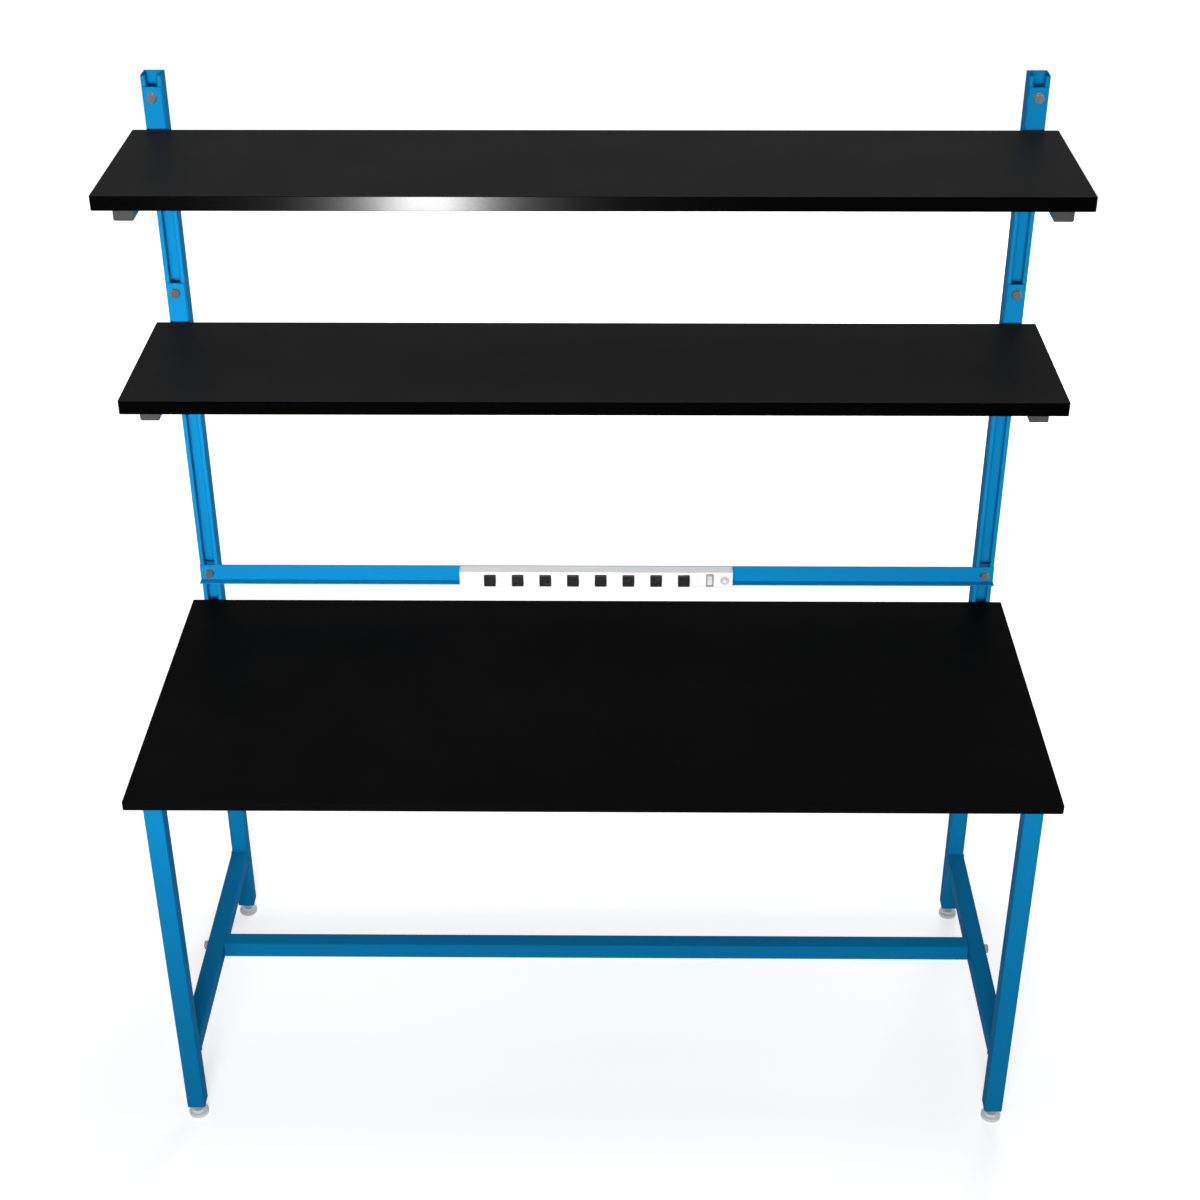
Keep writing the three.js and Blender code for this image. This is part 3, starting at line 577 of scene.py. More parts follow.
def makeWeldTree():  # overlapping ripples along the seam edges
    kinds = {"Spacing": "Float", "Bead": "Float", "Seed": "Int", "Finish": "Material"}
    tree, given = geometryTree("weldSeam", kinds)
    path = addNode(tree, "GeometryNodeMeshToCurve", {"Mesh": given["Geometry"]}).outputs["Curve"]
    spaced = {"Curve": path, "Length": given["Spacing"]}
    steps = addNode(tree, "GeometryNodeResampleCurve", spaced, mode="LENGTH").outputs["Curve"]
    ball = {"Segments": 10, "Rings": 6, "Radius": given["Bead"]}
    drop = addNode(tree, "GeometryNodeMeshUVSphere", ball).outputs["Mesh"]
    along = tree.nodes.new("GeometryNodeInputTangent").outputs["Tangent"]
    aim = addNode(tree, "FunctionNodeAlignRotationToVector", {"Vector": along}).outputs["Rotation"]
    spread = {"Min": (0.88, 0.88, 0.75), "Max": (1.06, 1.06, 0.95), "Seed": given["Seed"]}
    vary = addNode(tree, "FunctionNodeRandomValue", spread, data_type="FLOAT_VECTOR").outputs["Value"]
    return endTree(tree, instanceNode(tree, steps, drop, aim, Scale=vary), given["Finish"])


boltTree = makeBoltTree()
repeatTree = makeRepeatTree()
weldTree = makeWeldTree()


def growSet(name, base, tree, values, sharp):
    holder = addObject(name, base)
    modifier = holder.modifiers.new("grow", "NODES")
    modifier.node_group = tree
    for item in tree.interface.items_tree:
        if item.in_out == "INPUT" and item.name in values:
            modifier[item.identifier] = values[item.name]
    mesh = plainMesh(holder)
    holder.modifiers.remove(modifier)
    holder.data = smoothOver(mesh, sharp)
    mesh.name = name
    return holder


def pointMesh(name, places, turns, shanks=()):
    mesh = bpy.data.meshes.new(name)
    mesh.from_pydata([tuple(p) for p in places], [], [])
    field = mesh.attributes.new("turn", "FLOAT_VECTOR", "POINT")
    for item, turn in zip(field.data, turns):
        item.vector = turn
    if shanks:
        lengths = mesh.attributes.new("shank", "FLOAT", "POINT")
        for item, length in zip(lengths.data, shanks):
            item.value = length
    return mesh


def setDown(name, pattern, places, turn, finish, sharp, body, slot, *nodes):
    base = pointMesh(name + "Points", places, [turn] * len(places))
    piece = growSet(name, base, repeatTree, {"Piece": pattern, "Finish": finish}, sharp)
    dress(piece, body, slot, *nodes)


faceFront = (quarterTurn, 0, 0)  # a piece's +Z turned to the bench's front
faceLeft = (0, -quarterTurn, 0)
faceRight = (0, quarterTurn, 0)
faceDown = (math.pi, 0, 0)
unturned = (0, 0, 0)
print("node trees made")

# Worktop: solid resin slab with eased edges
worktop = {"corner": 0.004, "cornerSteps": 8, "ease": 0.0016, "easeSteps": 5}


def makeWorktop(spec):
    low, high, centre, size = nodeBox("worktop")
    steps = easedSteps(low.z, high.z, spec["ease"], spec["easeSteps"])
    slab = sweptBlock(newShape(), "z", centre, size.x, size.y, spec["corner"], steps, spec["cornerSteps"])
    makePiece("worktop_slab", slab, blackResin, "slab", "frame", "worktop_resin", "worktop")


makeWorktop(worktop)

# Reagent shelves: laminate faces with a band glued round the edge
reagentShelf = {"corner": 0.0035, "cornerSteps": 8, "sheet": 0.0010, "groove": 0.00025, "ease": 0.0007,
                "faceSteps": 3, "band": 0.0012}


def makeShelf(name, spec):
    low, high, centre, size = nodeBox(name + "_shelf")
    body, inset, plan = name + "_shelf_set", spec["band"], (size.x, size.y, spec["corner"])
    faceSteps = easedSteps(low.z, high.z, spec["ease"] / 2, spec["faceSteps"])
    faceSteps = [(amount + inset - spec["groove"], at) for amount, at in faceSteps]
    board = sweptBlock(newShape(), "z", centre, *plan, faceSteps, spec["cornerSteps"])
    bandLow, bandHigh = low.z + spec["sheet"] / 2, high.z - spec["sheet"] / 2
    edgeSteps = easedSteps(bandLow, bandHigh, spec["ease"])
    edgeSteps += [(2 * inset, bandHigh), (2 * inset, bandLow)]
    band = sweptBlock(newShape(), "z", centre, *plan, edgeSteps, spec["cornerSteps"], ring=True)
    makePiece(name + "_shelf_board", board, blackLaminate, "slab", body, "shelf_laminate", name + "_shelf")
    makePiece(name + "_shelf_band", band, blackEdgeBand, "slab", body, "shelf_laminate")


for shelfName in shelfNames:
    makeShelf(shelfName, reagentShelf)
print("slabs made")

# Leg frame: legs with their threaded foot plates, stretchers and top rails
legFrame = {"footPlate": 0.006, "stemHole": 0.0064, "endPlate": 0.004, "boltHole": 0.00675}


def plateInTube(shape, axis, low, high, start, stop, hole):
    wall = tubeStock["wall"]
    width, height = crossSize(axis, low, high)
    outer = roundedLoop(width - 2 * wall, height - 2 * wall, tubeStock["corner"] - wall)
    inner = circleLoop(hole, len(outer), math.pi / len(outer))
    rows = [(outer, start), (outer, stop), (inner, stop), (inner, start)]
    skin(shape, [lay(loop, axis, at, (low + high) / 2) for loop, at in rows], ring=True)


def makeTubePiece(node, axis, plates=()):
    low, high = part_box(node)
    shape = tube(newShape(), axis, low, high)
    for start, stop, hole in plates:
        plateInTube(shape, axis, low, high, start, stop, hole)
    makePiece(node + "_tube", shape, bluePowderCoat, "plain", "frame", "frame_paint", node)


def makeLegFrame(spec):
    for side in sideNames:
        for end in ("front", "rear"):
            node = f"leg_{end}_{side}"
            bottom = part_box(node)[0].z
            makeTubePiece(node, "z", [(bottom, bottom + spec["footPlate"], spec["stemHole"])])
        for node in ("side_stretcher_", "top_side_rail_"):
            makeTubePiece(node + side, "y")
    low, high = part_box("long_stretcher")
    ends = [(low.x, low.x + spec["endPlate"]), (high.x - spec["endPlate"], high.x)]
    makeTubePiece("long_stretcher", "x", [(*end, spec["boltHole"]) for end in ends])
    for node in ("top_front_rail", "top_rear_rail"):
        makeTubePiece(node, "x")


makeLegFrame(legFrame)

# Weld seams where the frame's tubes meet, and where each shelf arm meets its plate
weldSeam = {"Spacing": 0.0021, "Bead": 0.0021, "Seed": 4, "Finish": bluePowderCoat}
seamSteps = 3  # round each corner of a tube


def tubeSeam(axis, low, high, at):
    loop = roundedLoop(*crossSize(axis, low, high), tubeStock["corner"], seamSteps)
    return lay(loop, axis, at, (low + high) / 2)


def endSeams(node, axis):
    low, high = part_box(node)
    return [tubeSeam(axis, low, high, end["xyz".index(axis)]) for end in (low, high)]


def makeSeams(name, loops, body):
    points, edges = [], []
    for loop in loops:
        first = len(points)
        points += [tuple(p) for p in loop]
        edges += [(first + i, first + (i + 1) % len(loop)) for i in range(len(loop))]
    mesh = bpy.data.meshes.new(name + "Path")
    mesh.from_pydata(points, edges, [])
    dress(growSet(name, mesh, weldTree, weldSeam, "weld"), body, "frame_paint")


frameSeams = []
for seamSide in sideNames:
    frameSeams += endSeams("side_stretcher_" + seamSide, "y") + endSeams("top_side_rail_" + seamSide, "y")
frameSeams += endSeams("top_front_rail", "x") + endSeams("top_rear_rail", "x")
makeSeams("frame_weld_seams", frameSeams, "frame")
print("leg frame made")

# Levelling feet: moulded glide, hex and threaded stem
levellingFoot = {
    "lip": 0.0017, "lipSteps": 4, "round": 64, "rim": 0.009, "hub": 0.0135, "hubTop": 0.015,
    "hubEase": 0.0012, "hubCrown": 0.0004,
    "groove": 0.0006, "grooveShares": (0.55, 0.6), "flareSteps": 8, "flareCurve": 2.2,
    "hexAcross": 0.019, "hexHeight": 0.008, "hexEase": 0.001, "hexFoot": 0.0006, "hexChamfer": 0.0009,
    "hexCrown": 0.465, "stem": 0.006, "stemSink": 0.001, "pitch": 0.00175, "threadDepth": 0.0009,
    "threadRows": 4, "threadSlope": 1.6, "threadFlat": 0.3, "turnPoints": 28,
}


def threadedRod(shape, centre, spec, start, stop):
    perThread, count = spec["threadRows"], spec["turnPoints"]
    rows = int((stop - start) / spec["pitch"] * perThread)
    loops = []
    for row in range(rows + 1):
        loop = []
        for i in range(count):
            turn = 2 * math.pi * i / count
            phase = (row / perThread - i / count) % 1.0
            flank = spec["threadSlope"] * abs(2 * phase - 1) - spec["threadFlat"]
            r = spec["stem"] - spec["threadDepth"] * min(max(flank, 0), 1)
            loop.append((r * math.cos(turn), r * math.sin(turn)))
        loops.append(lay(loop, "z", start + (stop - start) * row / rows, centre))
    skin(shape, loops)


def makeFoot(node, spec):
    low, high, centre, size = nodeBox(node)
    pad, lip, rim, hub, top = size.x / 2, spec["lip"], spec["rim"], spec["hub"], spec["hubTop"]
    base, sole, crown = low.z, low.z + spec["groove"], top + spec["hubCrown"]
    inner, outer = [share * pad for share in spec["grooveShares"]]
    profile = [(poleRadius, sole), (inner, sole), (outer, base), (pad - lip, base)]
    profile += [(pad - rimShare * lip, base + rimShare * lip), (pad, base + lip)]
    profile += arcPoints(pad - lip, rim - lip, lip, 0, quarterTurn, spec["lipSteps"])
    for i in range(1, spec["flareSteps"] + 1):
        t = i / spec["flareSteps"]
        reach = pad - lip + (hub - pad + lip) * (1 - (1 - t) ** 2)
        profile.append((reach, rim + (top - rim) * t ** spec["flareCurve"]))
    profile += [(hub - spec["hubEase"], crown), (poleRadius, crown)]
    glide = turnedForm(newShape(), profile, centre, "z", spec["round"])
    makePiece(node + "_glide", glide, paleNylon, "form", node + "_body", "foot_nylon", node)
    across, hexTop = spec["hexAcross"], top + spec["hexHeight"]
    rows = [(across - spec["hexEase"], top), (across, top + spec["hexFoot"])]
    rows += [(across, hexTop - spec["hexChamfer"])]
    loops = [lay(hexLoop(width), "z", at, centre) for width, at in rows]
    loops.append(lay(circleLoop(spec["hexCrown"] * across, 6 * hexSteps), "z", hexTop, centre))
    metal = skin(newShape(), loops)
    threadedRod(metal, centre, spec, hexTop - spec["stemSink"], high.z)
    makePiece(node + "_stem", metal, stemSteel, "form", node + "_body", "foot_nylon")


for footEnd in ("front", "rear"):
    for footSide in sideNames:
        makeFoot(f"foot_{footEnd}_{footSide}", levellingFoot)
print("feet made")

# Uprights of lipped channel
channel = {"wall": 0.0027, "bend": 0.0032, "slot": 0.0222, "lip": 0.0071, "bendSteps": 6, "burr": 0.0003}


def channelRun(width, depth, spec, shift):  # outer face at shift 0, inner face at one wall
    bend, steps, slot = spec["bend"], spec["bendSteps"], spec["slot"] / 2
    r, far = bend - shift, width / 2 - bend
    run = [(slot + shift, spec["lip"])]
    run += arcPoints(slot + bend, bend, r, math.pi, 3 * quarterTurn, steps)
    run += arcPoints(far, bend, r, -quarterTurn, 0, steps)
    run += arcPoints(far, depth - bend, r, 0, quarterTurn, steps)
    return run + [(-u, v) for u, v in reversed(run)]


def makeUpright(side, spec):
    node = "upright_" + side
    low, high, centre, size = nodeBox(node)
    outer, inner = [channelRun(size.x, size.y, spec, shift) for shift in (0, spec["wall"])]
    place = Vector((centre.x, low.y, 0))
    shape = bentSheet("z", outer, inner, low.z, high.z, spec["burr"], place)
    makePiece(node + "_channel", shape, bluePowderCoat, "form", "frame", "frame_paint", node)


for uprightSide in sideNames:
    makeUpright(uprightSide, channel)
print("uprights made")

# Shelf brackets: plate on the upright, tube arm under the shelf, dark cap in the arm's end
bracket = {"plate": 0.0048, "corner": 0.003, "ease": 0.0006, "easeSteps": 3}
armCap = {"flange": 0.003, "ease": 0.0009, "dome": 0.0004, "domeShares": (0.40, 0.12), "plugGap": 0.0004,
          "plugWall": 0.002}


def makeBracket(name, side, spec):
    node = f"bracket_{name}_{side}"
    low, high, centre, size = nodeBox(node)
    armTop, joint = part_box(name + "_shelf")[0].z - seatGap, high.y - spec["plate"]
    armLow, armHigh = Vector((low.x, low.y, armTop - size.x)), Vector((high.x, joint, armTop))
    steps = easedSteps(joint, high.y, spec["ease"], spec["easeSteps"])
    shape = sweptBlock(newShape(), "y", centre, size.x, size.z, spec["corner"], steps)
    tube(shape, "y", armLow, armHigh)
    makePiece(node + "_weldment", shape, bluePowderCoat, "plain", name + "_shelf_set", "frame_paint", node)
    return tubeSeam("y", armLow, armHigh, joint)


def makeArmCap(name, side, spec):
    node = f"arm_cap_{name}_{side}"
    low, high, centre, size = nodeBox(node)
    back, plug = low.y + spec["flange"], tubeStock["wall"] + spec["plugGap"]
    hollow, (inner, outer) = plug + spec["plugWall"], spec["domeShares"]
    rows = [(inner * size.x, low.y), (outer * size.x, low.y + rimShare * spec["dome"])]
    rows += easedRim(low.y + spec["dome"], spec["ease"])
    rows += [(0, back), (plug, back), (plug, high.y), (hollow, high.y), (hollow, back)]
    shape = sweptBlock(newShape(), "y", centre, size.x, size.z, tubeStock["corner"], rows)
    makePiece(node + "_moulding", shape, capPlastic, "cap", name + "_shelf_set", "cap_plastic", node)


for shelfName in shelfNames:
    armSeams = []
    for bracketSide in sideNames:
        armSeams.append(makeBracket(shelfName, bracketSide, bracket))
        makeArmCap(shelfName, bracketSide, armCap)
    makeSeams(shelfName + "_bracket_welds", armSeams, shelfName + "_shelf_set")
print("brackets made")

# Bolts: flanged hex heads. The crown is (share of the width, height from the top)
hexBolt = {
    "across": 0.0180, "head": 0.008, "flangeRise": 0.002, "hexFoot": 0.0008, "chamfer": 0.0011,
    "shank": 0.00635,
    "flange": ((0.00635, 0), (0.0100, 0), (0.0103, 0.0004), (0.0102, 0.0011), (0.0084, 0.0024)),
    "crown": ((0.478, 0), (0.36, 0), (0.33, -0.0005), (0.02, -0.0004)),
}


def makeBoltHead(spec):
    across, top = spec["across"], spec["flangeRise"] + spec["head"]
    shape = turnedForm(newShape(), spec["flange"], origin)
    loops = [lay(hexLoop(across), "z", at, origin) for at in (spec["hexFoot"], top - spec["chamfer"])]
    for share, rise in spec["crown"]:
        loops.append(lay(circleLoop(share * across, 6 * hexSteps), "z", top + rise, origin))
    return makeMesh("hexBoltHead", skin(shape, loops), zincPlate, "bolt")


def makeBoltSet(name, body, nodes):
    places, turns, shanks = [], [], []
    reach = hexBolt["flangeRise"] + hexBolt["head"]
    for node in nodes:
        low, high, centre, size = nodeBox(node)
        if size.x > size.y:
            left = node.endswith("left")
            places.append(Vector((low.x + reach if left else high.x - reach, centre.y, centre.z)))
            turns.append(faceLeft if left else faceRight)
        else:
            places.append(Vector((centre.x, low.y + reach, centre.z)))
            turns.append(faceFront)
        shanks.append(max(size.x, size.y) - reach)
    values = {"Head": boltHead, "Shank Radius": hexBolt["shank"], "Finish": zincPlate}
    base = pointMesh(name + "Points", places, turns, shanks)
    dress(growSet(name, base, boltTree, values, "bolt"), body, "zinc", *nodes)


# Channel nuts: wide part behind the lips, boss in the slot
channelNut = {"boss": 0.0103, "setback": 0.0015, "bearing": 0.0074, "hole": 0.0066, "chamfer": 0.001,
              "drill": (-0.01, 0.05), "round": 32, "tuck": 0.0078}


def makeNut(name, spec, tuckedUnder=None):
    size = nodeSize("rail_nut_left")
    half, rise = size.x / 2, size.z
    if tuckedUnder:  # cut short so that the bracket plate hides it
        nutLow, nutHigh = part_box("bracket_nut_upper_left")
        rise = 2 * (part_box(tuckedUnder)[1].z - spec["tuck"]) - nutLow.z - nutHigh.z
    front, seat, back = spec["setback"], spec["bearing"], spec["setback"] + size.y
    boss, cut = spec["boss"], spec["chamfer"]
    profile = [(-boss, front), (boss, front), (boss, seat), (half, seat), (half, back - cut)]
    profile += [(half - cut, back), (cut - half, back), (-half, back - cut), (-half, seat), (-boss, seat)]
    body = skin(newShape(), [lay(profile, "z", at, origin) for at in (-rise / 2, rise / 2)])
    hole = [(spec["hole"], at) for at in spec["drill"]]
    drill = turnedForm(newShape(), hole, origin, "y", spec["round"])
    return addObject(name + "Pattern", cutAway(name, body, drill, zincPlate))


def makeNutSet(name, body, nut, nodes):
    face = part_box("upright_left")[0].y
    centres = [nodeCentre(node) for node in nodes]
    places = [Vector((centre.x, face, centre.z)) for centre in centres]
    # the nuts take the lighter zinc, painted light against the shade of the slot
    setDown(name, nut, places, unturned, nutZinc, "bolt", body, "zinc", *nodes)


boltHead = addObject("boltHeadPattern", makeBoltHead(hexBolt))
longNut = makeNut("channelNut", channelNut)
shortNut = makeNut("bracketNut", channelNut, "bracket_upper_left")
uprightRows = [f"{side}_{row}" for side in sideNames for row in (1, 2)]
frameBolts = ["stretcher_bolt_" + side for side in sideNames] + ["upright_bolt_" + row for row in uprightRows]
makeBoltSet("frame_bolts", "frame", frameBolts)
makeNutSet("frame_channel_nuts", "frame", longNut, ["upright_nut_" + row for row in uprightRows])
for shelfName in shelfNames:
    shelfEnds = [f"{shelfName}_{side}" for side in sideNames]
    shelfBody = shelfName + "_shelf_set"
    makeBoltSet(shelfName + "_shelf_bolts", shelfBody, ["bracket_bolt_" + end for end in shelfEnds])
    makeNutSet(shelfName + "_shelf_nuts", shelfBody, shortNut, ["bracket_nut_" + end for end in shelfEnds])
makeBoltSet("rail_bolts", "power_rail", ["rail_bolt_" + side for side in sideNames])
makeNutSet("rail_nuts", "power_rail", longNut, ["rail_nut_" + side for side in sideNames])
for pattern in (boltHead, longNut, shortNut):
    bpy.data.objects.remove(pattern)
print("bolts and nuts made")

# Pan-head screws up through the arms and the top rails
panScrew = {
    "radius": 0.0048, "round": 24, "rise": 0.0026, "skirt": 0.0002, "domeSteps": 6, "domeCurve": 0.6,
    "cross": 0.0016, "crossReach": 0.62, "crossDepths": (0.45, 2), "armInsets": (0.05, 0.19),
    "railPitch": 0.42, "railPlaces": (-1.5, -0.5, 0.5, 1.5), "sideShares": (0.25, 0.75),
}


def makeScrewHead(spec):
    radius, rise, half = spec["radius"], spec["rise"], spec["cross"] / 2
    turns = [quarterTurn * i / spec["domeSteps"] for i in range(spec["domeSteps"])]
    dome = [(radius * math.cos(a) ** spec["domeCurve"], rise * math.sin(a)) for a in turns]
    profile = [(radius, -spec["skirt"])] + dome + [(poleRadius, rise)]
    head, slots = turnedForm(newShape(), profile, origin, "z", spec["round"]), newShape()
    for width, depth in ((radius, half), (half, radius)):
        u, v = width * spec["crossReach"], depth * spec["crossReach"]
        loop = [(-u, -v), (u, -v), (u, v), (-u, v)]
        skin(slots, [lay(loop, "z", rise * share, origin) for share in spec["crossDepths"]])
    return addObject("panScrewPattern", cutAway("panScrew", head, slots, zincPlate))


def makeScrews(spec):
    screw = makeScrewHead(spec)
    for shelf in shelfNames:
        spots = []
        for side in sideNames:
            node = f"bracket_{shelf}_{side}"
            x, front = nodeCentre(node).x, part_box(node)[0].y
            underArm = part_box(shelf + "_shelf")[0].z - seatGap - nodeSize(node).x
            spots += [Vector((x, front + inset, underArm)) for inset in spec["armInsets"]]
        body = shelf + "_shelf_set"
        setDown(shelf + "_shelf_screws", screw, spots, faceDown, zincPlate, "plain", body, "zinc")
    spots = []
    for node in ("top_front_rail", "top_rear_rail"):
        y, bottom = nodeCentre(node).y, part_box(node)[0].z
        spots += [Vector((k * spec["railPitch"], y, bottom)) for k in spec["railPlaces"]]
    for side in sideNames:
        node = "top_side_rail_" + side
        x, low, length = nodeCentre(node).x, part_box(node)[0], nodeSize(node).y
        spots += [Vector((x, low.y + share * length, low.z)) for share in spec["sideShares"]]
    setDown("worktop_screws", screw, spots, faceDown, zincPlate, "plain", "frame", "zinc")
    bpy.data.objects.remove(screw)


makeScrews(panScrew)
print("screws made")

# Accessory rail: bent angle between the uprights
accessoryRail = {"thick": 0.0027, "bend": 0.0034, "steps": 6, "burr": 0.0003}


def makeRail(spec):
    node, bend = "accessory_rail", spec["bend"]
    (low, high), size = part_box(node), nodeSize(node)
    outer, inner = [
        [(-size.y, shift)] + arcPoints(-bend, bend, bend - shift, -quarterTurn, 0, spec["steps"])
        + [(-shift, size.z)] for shift in (0, spec["thick"])]
    heel = Vector((0, high.y, low.z))
    shape = bentSheet("x", outer, inner, low.x, high.x, spec["burr"], heel)
    makePiece("accessory_rail_angle", shape, bluePowderCoat, "form", "power_rail", "frame_paint", node)


makeRail(accessoryRail)

# Power strip: folded housing with windows, moulded outlets, end caps
powerStrip = {"wall": 0.0016, "corner": 0.0024, "burr": 0.0003, "segments": 6, "cutLead": 0.01,
              "windowSteps": 4, "switchMargin": 0.0032, "switchCorner": 0.0012, "resetHole": 0.0080,
              "holeRound": 40}
outlet = {
    "side": 0.026, "corner": 0.0022, "ease": 0.0009, "margin": 0.009, "count": 8,
    "bezel": [(0.0023, 0.0007), (0.0017, 0.0)], "slotGap": 0.0127, "slotWidth": 0.0022,
    "slotLengths": (0.0070, 0.0086), "slotShift": -0.0053, "slotCorner": 0.0004, "slotSteps": 2,
    "earth": 0.0025, "earthRound": 28, "earthShift": 0.0066,
    "mouth": [(-0.0003, -0.002), (-0.0003, 0.0011), (0, 0.0014)], "floor": 0.0008,
    "contactBore": 0.0016, "contactGap": 0.0001, "contactStart": 0.0030, "contactReach": 0.0006,
    "contactRound": 24, "barEase": 0.0008, "barSteps": 2, "barCorner": 0.0016,
}


def outletPlaces():
    low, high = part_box("outlet_bar")
    first = low.x + outlet["margin"] + outlet["side"] / 2
    last = high.x - outlet["margin"] - outlet["side"] / 2
    step = (last - first) / (outlet["count"] - 1)
    return [first + step * i for i in range(outlet["count"])]


def makeHousing(spec):
    (low, high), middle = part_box("strip_housing"), nodeCentre("strip_housing").z
    shape, cuts = tube(newShape(), "x", low, high, spec), newShape()
    front, behind = low.y - spec["cutLead"], low.y + 2 * spec["wall"]
    through, window = [(0, front), (0, behind)], outlet["side"] + 2 * seatGap
    steps = spec["windowSteps"]
    for x in outletPlaces():
        sweptBlock(cuts, "y", Vector((x, 0, middle)), window, window, outlet["corner"], through, steps)
    place, size, margin = nodeCentre("switch_frame"), nodeSize("switch_frame"), spec["switchMargin"]
    width, height = size.x - margin, size.z - margin
    sweptBlock(cuts, "y", place, width, height, spec["switchCorner"], through, steps)
    hole = [(spec["resetHole"], at) for at in (front, behind)]
    turnedForm(cuts, hole, nodeCentre("reset_collar"), "y", spec["holeRound"])
    shell = addObject("strip_housing_shell", cutAway("strip_housing_shell", shape, cuts, stripEnamel))
    dress(shell, "power_rail", "strip_paint", "strip_housing")


def makeOutletFace(spec, proud):
    cuts, back = newShape(), proud + powerStrip["wall"] + 2 * seatGap
    steps = spec["bezel"] + easedSteps(0, 2 * back, spec["ease"])[1:easeSteps + 1] + [(0, back)]
    body = sweptBlock(newShape(), "y", origin, spec["side"], spec["side"], spec["corner"], steps)
    mouth = spec["mouth"] + [(0, back - spec["floor"])]
    for row, length in zip((-1, 1), spec["slotLengths"]):
        place = Vector((spec["slotShift"], 0, row * spec["slotGap"] / 2))
        sweptBlock(cuts, "y", place, length, spec["slotWidth"], spec["slotCorner"], mouth, spec["slotSteps"])
    earth = [(spec["earth"] - inset, at) for inset, at in mouth]
    turnedForm(cuts, earth, Vector((spec["earthShift"], 0, 0)), "y", spec["earthRound"])
    return addObject("outletPattern", cutAway("outletFace", body, cuts, outletBlack))


def makeContact(spec, proud):
    outer, bore = spec["earth"] - spec["contactGap"], spec["contactBore"]
    start, deep = spec["contactStart"], proud + spec["contactReach"]
    rows = [(outer, start), (outer, deep), (bore, deep), (bore, start)]
    place = Vector((spec["earthShift"], 0, 0))
    sleeve = turnedForm(newShape(), rows, place, "y", spec["contactRound"], ring=True)
    return addObject("contactPattern", makeMesh("contactPattern", sleeve, contactMetal))


def makeOutlets(spec):
    node, body, slot = "outlet_bar", "power_rail", "outlet_plastic"
    low, high, centre, size = nodeBox(node)
    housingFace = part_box("strip_housing")[0].y
    places = [Vector((x, low.y, centre.z)) for x in outletPlaces()]
    face, contact = [make(spec, housingFace - low.y) for make in (makeOutletFace, makeContact)]
    setDown("outlet_faces", face, places, unturned, outletBlack, "plain", body, slot, node)
    setDown("earth_contacts", contact, places, unturned, contactMetal, "plain", body, "zinc")
    for used in (face, contact):
        bpy.data.objects.remove(used)
    steps = easedSteps(housingFace + powerStrip["wall"] + seatGap, high.y, spec["barEase"], spec["barSteps"])
    bar = sweptBlock(newShape(), "y", centre, size.x, size.z, spec["barCorner"], steps)
    makePiece("outlet_bar_moulding", bar, outletBlack, "plain", body, slot)


makeHousing(powerStrip)
makeOutlets(outlet)
print("strip and outlets made")

# End caps of the strip, the left one with a recessed power inlet
stripCap = {"ease": 0.0007, "flange": 0.0024, "inset": 0.00195}
powerInlet = {
    "height": 0.024, "depth": 0.0164, "chamfer": 0.005, "reach": 0.016, "lead": 0.01, "pinWidth": 0.002,
    "pinHeight": 0.004, "pinLength": 0.010, "pinPitch": 0.007, "pinOffset": 0.002, "pinRoot": 0.0005,
    "pinTip": (0.0005, 0.0008), "pinCorner": 0.0006, "pinSteps": 3,
}


def capShape(node, outward):
    low, high, centre, size = nodeBox(node)
    face, inner = (high.x, low.x) if outward > 0 else (low.x, high.x)
    shoulder, inset = face - outward * stripCap["flange"], stripCap["inset"]
    rows = easedRim(face, stripCap["ease"], -outward)
    rows += [(0, shoulder), (inset, shoulder), (inset, inner)]
    return sweptBlock(newShape(), "x", centre, size.y, size.z, powerStrip["corner"], rows)


def makeStripCaps(spec):
    name, node = "strip_end_cap_moulding", "strip_end_cap"
    makePiece(name, capShape(node, 1), whiteMoulding, "form", "power_rail", "strip_plastic", node)
    name, node = "strip_inlet_cap_moulding", "strip_inlet_cap"
    centre, face = nodeCentre(node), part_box(node)[0].x
    halfY, halfZ, chamfer = spec["depth"] / 2, spec["height"] / 2, spec["chamfer"]
    mouth = [(-halfY, -halfZ), (-halfY, halfZ), (halfY - chamfer, halfZ), (halfY, halfZ - chamfer)]
    mouth += [(halfY, chamfer - halfZ), (halfY - chamfer, -halfZ)]
    reach = face + spec["reach"]
    hollow = skin(newShape(), [lay(mouth, "x", at, centre) for at in (face - spec["lead"], reach)])
    cap = addObject(name, cutAway(name, capShape(node, -1), hollow, whiteMoulding))
    dress(cap, "power_rail", "strip_plastic", node)
    pins, root, size = newShape(), reach + spec["pinRoot"], (spec["pinHeight"], spec["pinWidth"])
    tip, (ease, run) = root - spec["pinLength"], spec["pinTip"]
    for row in (-1, 0, 1):
        shift = spec["pinOffset"] if row == 0 else -spec["pinOffset"]
        place = Vector((0, centre.y + shift, centre.z + row * spec["pinPitch"]))
        steps = [(ease, tip), (0, tip + run), (0, root)]
        sweptBlock(pins, "x", place, *size, spec["pinCorner"], steps, spec["pinSteps"])
    makePiece("inlet_pins", pins, contactMetal, "plain", "power_rail", "zinc")


makeStripCaps(powerInlet)

# Rocker switch and reset button
rockerSwitch = {
    "wall": 0.0015, "flange": 0.0015, "ease": 0.0006, "corner": 0.0016, "cornerLeast": 0.0005, "steps": 5,
    "tilt": math.radians(7), "pivotDepth": 0.004, "tail": 0.005, "slide": 0.0008, "tipDrop": 0.0008,
    "faceSteps": 10, "faceCurve": 1.4,
}
resetButton = {
    "bore": 0.0051, "rim": 0.0012, "rimFlat": 0.0004, "dish": 0.0017, "dishRun": 0.0012, "dishShare": 0.8,
    "dishLip": 0.0002, "edge": ((0.0004, 0), (0.0001, 0.0003), (0, 0.0007)), "flange": 0.002,
    "sleeve": 0.0078, "stem": 0.0047, "dome": 0.0009, "domeSteps": 8, "headDepth": 0.002,
}


